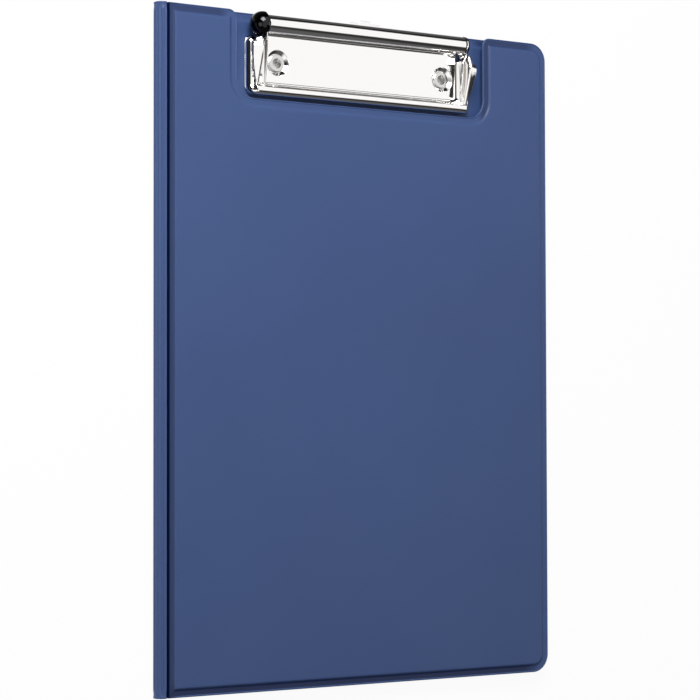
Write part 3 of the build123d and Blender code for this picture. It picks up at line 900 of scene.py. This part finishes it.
def rim_sections():
    """The rim's section at the sides and at the front: once along its face, and back inside it."""
    side = LIP_EDGE + roll(LIP, LIP_FOOT, RIDGE_SIDE, 0)
    crease = BAR_R + 2 * CREASE
    side += [(crease - CREASE, RIDGE_SIDE), (crease, RIDGE_SIDE - CREASE_DEEP)]
    side += [(crease + CREASE, RIDGE_SIDE)]
    shelf = [crease + (SHELF_END - crease) * n / FLAT_STEPS for n in range(1, FLAT_STEPS + 1)]
    side += [(d, RIDGE_SIDE) for d in shelf]
    side += [(d, RIDGE_SIDE - SHEET) for d, _ in side[:-9:-1]]
    side += roll(LIP, LIP_FOOT, RIDGE_SIDE, SHEET)[::-1]
    side += [(LIP + SHEET, LIP_RISE * n / 4) for n in (3, 2, 1, 0)]
    front = BAR_FOOT + roll(0, BAR_R, RIDGE_FRONT, 0)
    front += [(BAR_R + BAR_R * math.sin(a), BAR_R + BAR_R * math.cos(a)) for a in BAR_BACK]
    front += FLANGE
    inner = BAR_R - SHEET
    front += [(BAR_R + inner * math.sin(a), BAR_R + inner * math.cos(a)) for a in BAR_BACK[::-1]]
    front += roll(0, BAR_R, RIDGE_FRONT, SHEET)[::-1]
    front += [(SHEET, BAR_R * n / 4) for n in (3, 2, 1, 0)]
    return side, front


def lofted(bm, loops):
    """Quads between loops of the same count, with a face at each end."""
    rings = [[bm.verts.new(point) for point in loop] for loop in loops]
    for one, two in zip(rings, rings[1:]):
        quads(bm, one, two)
    bm.faces.new(rings[0])
    bm.faces.new(rings[-1])


def jaw_rim(bm):
    """The rolled rim, from one rear corner round the front to the other."""
    side, front = rim_sections()
    rings = []
    for (d_side, z_side), (d_front, z_front) in zip(side, front):
        ring = outline_ring(JAW_CORNERS, [d_side, d_front, d_side, min(d_side, REAR_INSET)])
        rear_points = round((JAW_CORNERS[3][0] - JAW_CORNERS[0][0]) / EDGE_STEP) - 1
        ring = ring[: len(ring) - rear_points]
        turn_1 = ARC_STEPS + round((JAW_CORNERS[0][1] - JAW_CORNERS[1][1]) / EDGE_STEP)
        turn_2 = len(ring) - turn_1 - ARC_STEPS - 1
        points = []
        for n, point in enumerate(ring):
            share = smooth((n - turn_1) / ARC_STEPS) * smooth((turn_2 + ARC_STEPS - n) / ARC_STEPS)
            height = JAW_BASE + z_side + (z_front - z_side) * share
            points.append((point.x, point.y, height))
        rings.append(points)
    lofted(bm, [list(loop) for loop in zip(*rings)])


print("rim section:", len(rim_sections()[0]), "points at the sides and as many at the front")

# %% [markdown]
# Two plates rise from the shelf inside the rim. The outer one is the grip: it turns up out of the
# shelf, folds over its crest and comes down outwards as a leaf, so that a finger can lift the
# jaw. The inner one is the arm of the ear. Each is a section swept along the page. It follows a
# few places that were read by matching both ends of the clip, and a smooth curve between them,
# because straight steps would show as kinks in the mirror.

# %% Sections of the grip and the arm
CREST = [(124.8, 4.4), (131.1, 6.35), (137.0, 8.25), (140.5, 9.25), (143.5, 9.6)]
CREST += [(147.8, 8.4), (149.8, 7.5)]
EDGE_IN = [(124.8, 4.2), (126.0, 3.9), (127.0, 3.4), (129.2, 2.6), (132.4, 1.7), (134.6, 1.2)]
EDGE_IN += [(139.9, 0.3), (142.6, 0.05), (144.4, 0.4), (146.2, 1.5), (149.8, 3.9)]
EDGE_DROP = [(124.8, 0.1), (127.0, 0.3), (129.2, 0.5), (132.4, 0.7), (139.9, 1.3), (143.5, 1.4)]
EDGE_DROP += [(146.5, 1.2), (149.8, 0.5)]
GRIP_ENDS = {-1: 147.6, 1: 149.6}
ARM_TOPS = [(124.4, 5.3), (127.0, 5.9), (131.0, 6.9), (136.0, 8.2), (141.0, 8.9), (150.0, 9.0)]
WALL_IN, CREST_R, CREST_STEPS = 5.0, 0.65, 8
WALL_FOOT = [(7.0, -0.42), (6.5, -0.36), (6.05, -0.12), (5.6, 0.3), (5.25, 0.95)]
ARM_FOOT, ARM_LEAN = 7.9, math.tan(math.radians(8.5))
EAR_R, EAR_X, EAR_BORE = 4.7, 58.3, 1.8
PLATE_FOOT = 0.4
GRIP_SAG = 0.035
SWEEP_STEPS, END_TURNS = 66, 8


def value_at(table, y):
    """A smooth value between the rows of a table."""
    n = max(k for k in range(len(table) - 1) if k == 0 or table[k][0] <= y)
    rows = [table[max(n - 1, 0)], table[n], table[n + 1], table[min(n + 2, len(table) - 1)]]
    span = rows[2][0] - rows[1][0]
    t = (y - rows[1][0]) / span
    leave = (rows[2][1] - rows[0][1]) / (rows[2][0] - rows[0][0]) * span
    arrive = (rows[3][1] - rows[1][1]) / (rows[3][0] - rows[1][0]) * span
    rise = rows[2][1] - rows[1][1]
    curve = leave + t * (3 * rise - 2 * leave - arrive + t * (leave + arrive - 2 * rise))
    return rows[1][1] + t * curve


def round_end(middle, way):
    """Half a circle round a sheet's end, from its left face to its right one."""
    side = Vector((-way.y, way.x))
    turns = [math.pi * n / END_TURNS for n in range(1, END_TURNS)]
    return [middle + SHEET / 2 * (side * math.cos(a) + way * math.sin(a)) for a in turns]


def sheet_section(line):
    """A sheet round its middle line, with a round end at the line's last point."""
    line = [Vector(point) for point in line]
    last = len(line) - 1
    ways = [(line[min(n + 1, last)] - line[max(n - 1, 0)]).normalized() for n in range(last + 1)]
    sides = [SHEET / 2 * Vector((-way.y, way.x)) for way in ways]
    left = [point + side for point, side in zip(line, sides)]
    right = [point - side for point, side in zip(line, sides)]
    return left + round_end(line[-1], ways[-1]) + right[::-1]


def swept_plate(bm, side, start, stop, section_at):
    """A plate swept along the page, from a function that gives its section."""
    edge = jaw_high.x if side > 0 else jaw_low.x
    loops = []
    for n in range(SWEEP_STEPS + 1):
        y = start + (stop - start) * n / SWEEP_STEPS
        loops.append([(edge - side * d, y, JAW_BASE + z) for d, z in section_at(y)])
    lofted(bm, loops)


print(f"crest {value_at(CREST, GRIP_ENDS[-1]):.1f} mm high where the left grip ends")

# %% [markdown]
# The grip ends in front of the cap. Both arms lean a little to the left, as the photograph's
# reflections show. An arm turns upright at its rear end and meets the ear, a round plate with a
# bore for the rod.

# %% Jaw grips, arms and ears
EAR_FROM, TURN_OVER = 145.0, 4.0
EAR_EDGE = 0.15
EAR_INSET = jaw_high.x - CLIP_X - EAR_X - SHEET / 2


def grip_at(y):
    """The grip's section at one place along the page: foot, wall, crest and leaf."""
    top = value_at(CREST, y) - SHEET / 2
    edge = Vector((value_at(EDGE_IN, y) + SHEET / 2, top - value_at(EDGE_DROP, y)))
    middle = Vector((WALL_IN - CREST_R, top - CREST_R))
    fall = math.atan2(top - edge.y, middle.x - edge.x)
    line = [(across, RIDGE_SIDE + up) for across, up in WALL_FOOT]
    foot_top = Vector(line[-1])
    wall_top = middle + Vector((CREST_R, 0))
    line += [foot_top.lerp(wall_top, n / 4) for n in range(1, 4)]
    for n in range(CREST_STEPS + 1):
        angle = (math.pi / 2 + fall) * n / CREST_STEPS
        line.append(middle + CREST_R * Vector((math.cos(angle), math.sin(angle))))
    start = line[-1]
    sag = Vector((0, -GRIP_SAG * (start - edge).length))
    line += [start.lerp(edge, n / 6) + sag * math.sin(math.pi * n / 6) for n in range(1, 7)]
    return sheet_section(line)


def arm_at(y, side):
    """The arm's section at one place along the page. Both arms lean to the left."""
    upright = smooth((y - EAR_FROM) / TURN_OVER)
    foot = ARM_FOOT + SHEET / 2 + (EAR_INSET - ARM_FOOT - SHEET / 2) * upright
    lean = -side * ARM_LEAN * (1 - upright)
    top = value_at(ARM_TOPS, y) - SHEET / 2
    low = RIDGE_SIDE - PLATE_FOOT
    heights = [low + (top - low) * n / 6 for n in range(7)]
    return sheet_section([(foot - lean * max(h - RIDGE_SIDE, 0), h) for h in heights])


def jaw_ear(bm, side):
    """The round plate at the end of the arm, with taken-off edges and a bore."""
    outer = CLIP_X + side * (EAR_X + SHEET)
    layers = [(EAR_BORE, 0), (EAR_R - EAR_EDGE, 0), (EAR_R, EAR_EDGE), (EAR_R, SHEET - EAR_EDGE)]
    layers += [(EAR_R - EAR_EDGE, SHEET), (EAR_BORE, SHEET)]
    turned(bm, layers, lambda r, d, c, s: (outer - side * d, AXIS_Y + r * c, AXIS_Z + r * s))


jaw_bm = bmesh.new()
jaw_rim(jaw_bm)
for side in (-1, 1):
    swept_plate(jaw_bm, side, CREST[0][0], GRIP_ENDS[side], grip_at)
    swept_plate(jaw_bm, side, ARM_TOPS[0][0], ARM_TOPS[-1][0], lambda y: arm_at(y, side))
    jaw_ear(jaw_bm, side)
keep("clip_jaw_pressed", mesh_from(jaw_bm, "jaw"), "jaw", "nickel_plate", "clip_jaw")

# %% [markdown]
# ## Springs
#
# Two springs wind round the rod inside the barrel and press the jaw down. A Screw modifier could
# turn a circle into a coil, but not with straight ends. A coil follows a rule, so Geometry Nodes
# wind it: a line of points is laid on a helix with a straight stub at each end, and a round
# section is swept along it. The left spring is wound the other way round.

# %% Spring tree
COIL_R, WIRE_R, COIL_PITCH, COIL_TURNS = 2.6, 0.5, 1.5, 12
STUB = 2 * WIRE_R / COIL_R
COIL_STEPS = 24 * COIL_TURNS
WIRE_SIDES = 12
SPRING_INPUTS = [
    ("Coil Radius", "Float", COIL_R * MM),
    ("Wire Radius", "Float", WIRE_R * MM),
    ("Coil Pitch", "Float", COIL_PITCH * MM),
    ("Turns", "Float", float(COIL_TURNS)),
    ("Stub Angle", "Float", STUB),
    ("Steps", "Int", COIL_STEPS),
    ("Hand", "Float", 1.0),
    ("Middle", "Vector", None),
    ("Steel", "Material", None),
]


def spring_tree():
    """A tree that winds one spring round a rod that runs along X."""
    tree, identifiers = new_tree("wind_spring", "Spring", SPRING_INPUTS)
    given = add_node(tree, "NodeGroupInput").outputs
    whole = maths(tree, "MULTIPLY", given["Turns"], 2 * math.pi)
    both_stubs = maths(tree, "MULTIPLY", given["Stub Angle"], 2.0)
    step = maths(tree, "DIVIDE", maths(tree, "ADD", whole, both_stubs), given["Steps"])
    index = add_node(tree, "GeometryNodeInputIndex").outputs[0]
    angle = maths(tree, "SUBTRACT", maths(tree, "MULTIPLY", index, step), given["Stub Angle"])
    wound = maths(tree, "MINIMUM", maths(tree, "MAXIMUM", angle, 0.0), whole)
    straight = maths(tree, "SUBTRACT", angle, wound)
    radius = given["Coil Radius"]
    out = maths(tree, "MULTIPLY", maths(tree, "COSINE", wound), radius)
    round_it = maths(tree, "ADD", maths(tree, "SINE", wound), straight)
    up = maths(tree, "MULTIPLY", round_it, radius)
    half_coil = maths(tree, "SUBTRACT", angle, maths(tree, "MULTIPLY", whole, 0.5))
    lead = maths(tree, "DIVIDE", given["Coil Pitch"], 2 * math.pi)
    rise = maths(tree, "MULTIPLY", half_coil, lead)
    along = maths(tree, "MULTIPLY", rise, given["Hand"])
    down = maths(tree, "MULTIPLY", out, -1.0)
    local = add_node(tree, "ShaderNodeCombineXYZ", [(0, along), (1, up), (2, down)]).outputs[0]
    place = add_node(tree, "ShaderNodeVectorMath", [(0, local), (1, given["Middle"])]).outputs[0]
    count = maths(tree, "ADD", given["Steps"], 1.0)
    line = add_node(tree, "GeometryNodeMeshLine", [("Count", count)]).outputs[0]
    laid = add_node(tree, "GeometryNodeSetPosition", [(0, line), ("Position", place)]).outputs[0]
    path = add_node(tree, "GeometryNodeMeshToCurve", [(0, laid)]).outputs[0]
    circle = [("Resolution", WIRE_SIDES), ("Radius", given["Wire Radius"])]
    section = add_node(tree, "GeometryNodeCurvePrimitiveCircle", circle).outputs[0]
    sweep = [("Curve", path), ("Profile Curve", section), ("Fill Caps", True)]
    wire = add_node(tree, "GeometryNodeCurveToMesh", sweep).outputs[0]
    finish_tree(tree, wire, given["Steel"])
    return tree, identifiers


wind_spring, spring_sockets = spring_tree()
print("spring tree:", len(wind_spring.nodes), "nodes, inputs", ", ".join(spring_sockets))

# %% Springs
for side, hand in (("left", -1.0), ("right", 1.0)):
    node = f"torsion_spring_{side}"
    low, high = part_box(node)
    middle = Vector(((low.x + high.x) / 2, AXIS_Y * MM, AXIS_Z * MM))
    values = {"Hand": hand, "Middle": middle, "Steel": FINISHES["spring_wire"]}
    wound = grown(wind_spring, spring_sockets, bpy.data.meshes.new(node), node + "_wire", values)
    wound.shade_smooth()
    wound.set_sharp_from_angle(angle=SMOOTH_BELOW)
    keep(node + "_wire", wound, "back", "spring_wire", node)
    xs = [v.co.x / MM for v in wound.vertices]
    print(f"{node}: x {min(xs):.2f} to {max(xs):.2f}, solid {low.x / MM:.2f} to {high.x / MM:.2f}")

# %% [markdown]
# ## Pocket inside the cover
#
# A thin foil is welded on three sides to the liner and open at the top, to hold loose papers. It
# hangs a little slack between its seams, with a few broad waves, and the weld is pressed thinner.
# A cloth simulation could drape it, but it moves under a millimetre, so a formula is enough.

# %% Pocket's slack
POCKET_FOIL, POCKET_SEAM, POCKET_R, POCKET_SLACK = 0.25, 2.5, 6.0, 0.15
POCKET_BELLY, BELLY_FADE, OPEN_FADE, LINER_GAP = 0.35, 30.0, 1.5, 0.02
POCKET_WAVE, WAVE_ACROSS, WAVE_LEAN, WAVE_ALONG = 0.1, 23.0, 41.0, 35.0
PRESS_DEPTH, PRESS_FROM, PRESS_TO, PRESS_FADE = 0.1, 0.5, 2.0, 0.3
TURN_STEPS, FLAT_COLUMNS, FLAT_ROWS = 8, 56, 60
POCKET_ROWS = [0, 0.25, 0.5, 0.8, 1.4, 2.0, 2.3, 2.6, 3.2, 4.0]
pocket_low, pocket_high = (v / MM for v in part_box("cover_pocket"))
POCKET_WIDTH = pocket_high.x - pocket_low.x


def pocket_columns():
    """Places across the pocket, closer together in its round corners."""
    angles = [math.pi / 2 * n / TURN_STEPS for n in range(TURN_STEPS + 1)]
    turn = [POCKET_R * (1 - math.cos(angle)) for angle in angles]
    flat = (POCKET_WIDTH - 2 * POCKET_R) / FLAT_COLUMNS
    columns = turn + [POCKET_R + flat * n for n in range(1, FLAT_COLUMNS)]
    return columns + [POCKET_WIDTH - t for t in reversed(turn)]


def pocket_heights(x, y, low_y):
    """The foil's upper and lower face at one place."""
    inside = min(x, POCKET_WIDTH - x, y - low_y)
    belly = smooth((inside - POCKET_SEAM) / BELLY_FADE)
    open_up = smooth((inside - POCKET_SEAM) / OPEN_FADE)
    wave = POCKET_WAVE * math.sin(x / WAVE_ACROSS + math.sin(y / WAVE_LEAN))
    hang = open_up * POCKET_SLACK + belly * (POCKET_BELLY + wave * math.cos(y / WAVE_ALONG))
    press = smooth((inside - PRESS_FROM) / PRESS_FADE)
    press *= PRESS_DEPTH * (1 - smooth((inside - PRESS_TO) / PRESS_FADE))
    upper = pocket_high.z - LINER_GAP - hang
    return upper, upper - POCKET_FOIL - POCKET_SLACK * (1 - open_up) + press


print(f"pocket {POCKET_WIDTH:.1f} mm wide and {pocket_high.y - pocket_low.y:.1f} mm high")

# %% Pocket


def pocket_mesh():
    """The pocket as a closed sheet."""
    bm = bmesh.new()
    grids = [[], []]
    for x in pocket_columns():
        turn = max(POCKET_R - min(x, POCKET_WIDTH - x), 0.0)
        low_y = pocket_low.y + POCKET_R - math.sqrt(max(POCKET_R**2 - turn**2, 0.0))
        first = POCKET_ROWS[-1]
        step = (pocket_high.y - low_y - first) / FLAT_ROWS
        rows = POCKET_ROWS + [first + step * n for n in range(1, FLAT_ROWS + 1)]
        for face, grid in enumerate(grids):
            column = []
            for row in rows:
                height = pocket_heights(x, low_y + row, low_y)[face]
                column.append(bm.verts.new((pocket_low.x + x, low_y + row, height)))
            grid.append(column)
    close_sheet(bm, *grids)
    return mesh_from(bm, "pocket")


keep("cover_pocket_foil", pocket_mesh(), "cover", "pocket_foil", "cover_pocket")

# %% [markdown]
# The rivets, washers, bushes, boards, rod and its ball and cap have the right shape as solids.
# Copies would gain nothing, so the solids stay and only get their finish, by the record's slots.

# %% Finishes on the remaining solids
slots = {row["node"]: row["material_slot"] for row in frame["record"]["subparts"]}
for name, solid in frame["nodes"].items():
    if solid.hide_render:
        continue
    solid.data.materials.clear()
    solid.data.materials.append(FINISHES[slots[name]])
    for face in solid.data.polygons:
        face.material_index = 0
print("solids kept:", [n for n, o in frame["nodes"].items() if not o.hide_render])

# %% [markdown]
# ## Floor, light and camera
#
# The floor is pale and keeps the shadow. More lamps could make it as white as the photograph's
# ground, but they would wash out the folder. So to the camera and to mirrors it is mostly a plain
# white glow. The glow stops under the folder, where nobody sees it, and mirrors see a black card
# beyond the page's head, which gives the barrel its dark edge.

# %% Floor
FLOOR_SIZE, FLOOR_DROP = 60.0, 0.0002
FLOOR_TONE, FLOOR_ROUGH = (0.94, 0.94, 0.94), 0.9
GLOW_SHARE = 0.94
CARD_FROM, CARD_FULL, CARD_TONE = 0.162, 0.172, 0.02
UNDER_X, UNDER_Y = 0.108, 0.155


def floor_finish():
    """Matt white that glows a little for the camera, and still darkens in shadow."""
    material, tree, shader, spot = finish("studio_floor", FLOOR_TONE, FLOOR_ROUGH)
    ways = add_node(tree, "ShaderNodeLightPath").outputs
    seen = maths(tree, "ADD", ways["Is Camera Ray"], ways["Is Glossy Ray"])
    seen = maths(tree, "ADD", seen, ways["Is Transmission Ray"])
    share = maths(tree, "MULTIPLY", seen, GLOW_SHARE, use_clamp=True)
    page = add_node(tree, "ShaderNodeSeparateXYZ", [(0, spot)]).outputs[1]
    beyond = spread(tree, page, CARD_FROM, CARD_FULL)
    card = maths(tree, "MULTIPLY", beyond, ways["Is Glossy Ray"])
    tone = spread(tree, card, 0.0, 1.0, 1.0, CARD_TONE)
    away = add_node(tree, "ShaderNodeVectorMath", [(0, spot)], operation="ABSOLUTE").outputs[0]
    sides = add_node(tree, "ShaderNodeSeparateXYZ", [(0, away)]).outputs
    under_x = maths(tree, "LESS_THAN", sides[0], UNDER_X)
    under = maths(tree, "MULTIPLY", under_x, maths(tree, "LESS_THAN", sides[1], UNDER_Y))
    share = maths(tree, "MULTIPLY", share, maths(tree, "SUBTRACT", 1.0, under))
    glow = add_node(tree, "ShaderNodeEmission", [("Color", tone), ("Strength", 1.0)]).outputs[0]
    links = [(0, share), (1, shader.outputs[0]), (2, glow)]
    mix = add_node(tree, "ShaderNodeMixShader", links)
    tree.links.new(mix.outputs[0], tree.nodes["Material Output"].inputs["Surface"])
    return material


floor_mesh = bpy.data.meshes.new("studio_floor")
half = FLOOR_SIZE / 2
floor_mesh.from_pydata(
    [(-half, -half, 0), (half, -half, 0), (half, half, 0), (-half, half, 0)], [], [(0, 1, 2, 3)]
)
floor_mesh.materials.append(floor_finish())
floor = placed("studio_floor", floor_mesh)
floor.location.z = -FLOOR_DROP
print(f"floor {FLOOR_SIZE:.0f} m wide")

# %% [markdown]
# The photograph's metal shows white faces cut by hard black bands, as in a light tent with dark
# gaps. Cards round the object could do that, but they would also shade the foil and stand in the
# other views. So the world does it, for mirrors only: white overhead, and dark to the left, to
# the far right, towards the page's foot and beyond its head. All other light is even.

# %% World
# Where a band starts and ends in the mirror's direction, and its light before and after
LEFT_GAP = (-0.5, -0.36, 0.02, 1.0)
FOOT_GAP = (-0.3, -0.18, 0.03, 1.0)
FOOT_WINDOW_ACROSS = (0.1, 0.3, 1.0, 0.0)
FOOT_WINDOW_UP = (0.74, 0.82, 0.0, 1.0)
HEAD_GAP = (0.735, 0.775, 1.0, 0.02)
HEAD_TURN, HEAD_OFFSET, HEAD_LEAST = 0.8, -0.42, -0.03
RIGHT_GAP = (0.78, 0.86, 1.0, 0.0)
RIGHT_WINDOW, RIGHT_WINDOW_Y = (0.12, 0.2, 1.0, 0.03), 0.08
LOW_GLOW = (-0.7, -0.5, 0.1, 0.0)
EVEN_LIGHT = 0.2
WHITE = (1, 1, 1, 1)


def tent_light(tree):
    """How bright the tent is in each direction."""
    way = add_node(tree, "ShaderNodeTexCoord").outputs["Generated"]
    across, page, up = add_node(tree, "ShaderNodeSeparateXYZ", [(0, way)]).outputs
    window = maths(
        tree,
        "MULTIPLY",
        spread(tree, across, *FOOT_WINDOW_ACROSS),
        spread(tree, up, *FOOT_WINDOW_UP),
    )
    foot = maths(tree, "MAXIMUM", spread(tree, page, *FOOT_GAP), window)
    slant = maths(tree, "MULTIPLY_ADD", across, HEAD_TURN, HEAD_OFFSET)
    slant = maths(tree, "ADD", page, maths(tree, "MAXIMUM", slant, HEAD_LEAST))
    away = maths(tree, "ABSOLUTE", maths(tree, "SUBTRACT", page, RIGHT_WINDOW_Y))
    window = spread(tree, away, *RIGHT_WINDOW)
    right = maths(tree, "MAXIMUM", spread(tree, across, *RIGHT_GAP), window)
    light = maths(tree, "MINIMUM", foot, right)
    light = maths(tree, "MINIMUM", light, spread(tree, slant, *HEAD_GAP))
    light = maths(tree, "MINIMUM", light, spread(tree, across, *LEFT_GAP))
    return maths(tree, "MAXIMUM", light, spread(tree, page, *LOW_GLOW))


def studio_world():
    """Even light for matt surfaces, white for the camera, and dark bands for mirrors."""
    world = bpy.data.worlds.new("studio")
    world.use_nodes = True
    tree = world.node_tree
    tree.nodes.clear()
    ways = add_node(tree, "ShaderNodeLightPath").outputs
    lights = []
    for colour, strength in ((WHITE, EVEN_LIGHT), (tent_light(tree), 1.0), (WHITE, 1.0)):
        links = [("Color", colour), ("Strength", strength)]
        lights.append(add_node(tree, "ShaderNodeBackground", links).outputs[0])
    even, tent, white = lights
    links = [(0, ways["Is Glossy Ray"]), (1, even), (2, tent)]
    light = add_node(tree, "ShaderNodeMixShader", links).outputs[0]
    links = [(0, ways["Is Camera Ray"]), (1, light), (2, white)]
    light = add_node(tree, "ShaderNodeMixShader", links).outputs[0]
    add_node(tree, "ShaderNodeOutputWorld", [("Surface", light)])
    return world


bpy.context.scene.world = studio_world()
print("world:", len(bpy.context.scene.world.node_tree.nodes), "nodes")

# %% [markdown]
# A soft lamp hangs beyond the page's head, which makes the foil a little lighter there, and a
# weak one stands at the left. The world alone would light the foil evenly from end to end.

# %% Lamps


def soft_lamp(name, place, target, size, power):
    """A square area lamp that points at a place."""
    data = bpy.data.lights.new(name, "AREA")
    data.shape = "SQUARE"
    data.size = size
    data.energy = power
    lamp = placed(name, data)
    lamp.location = place
    way = Vector(target) - Vector(place)
    lamp.rotation_euler = way.to_track_quat("-Z", "Y").to_euler()
    print(f"{name}: {way.length:.2f} m away, {power} W")


soft_lamp("head_lamp", place=(-0.3, 0.62, 0.62), target=(0, 0.1, 0), size=0.45, power=8.6)
soft_lamp("side_lamp", place=(-1.1, -0.2, 0.9), target=(0, 0, 0), size=0.8, power=3.0)

# %% [markdown]
# The camera stands to the left of the page and nearly level with its middle. It could be placed
# by eye, but its place and turn were solved from the four corners of the cover in the photograph.

# %% Camera
CAMERA_PLACE = Vector((-665.06, -40.86, 967.61)) * MM
CAMERA_TURN, CAMERA_TILT, CAMERA_ROLL = -0.60036, 0.03604, -0.00221
SENSOR, FOCAL_PIXELS, PHOTO_PIXELS = 36.0, 2414.6, 700
camera_data = bpy.data.cameras.new("camera")
camera_data.sensor_width = SENSOR
camera_data.lens = SENSOR * FOCAL_PIXELS / PHOTO_PIXELS
camera = placed("camera", camera_data)
turn = (
    Matrix.Rotation(CAMERA_TURN, 4, "Y")
    @ Matrix.Rotation(CAMERA_TILT, 4, "X")
    @ Matrix.Rotation(CAMERA_ROLL, 4, "Z")
)
camera.matrix_world = Matrix.Translation(CAMERA_PLACE) @ turn
bpy.context.scene.camera = camera
bpy.context.scene.view_settings.view_transform = "Standard"
print(f"camera: {camera_data.lens:.1f} mm lens, {CAMERA_PLACE.length:.2f} m away")
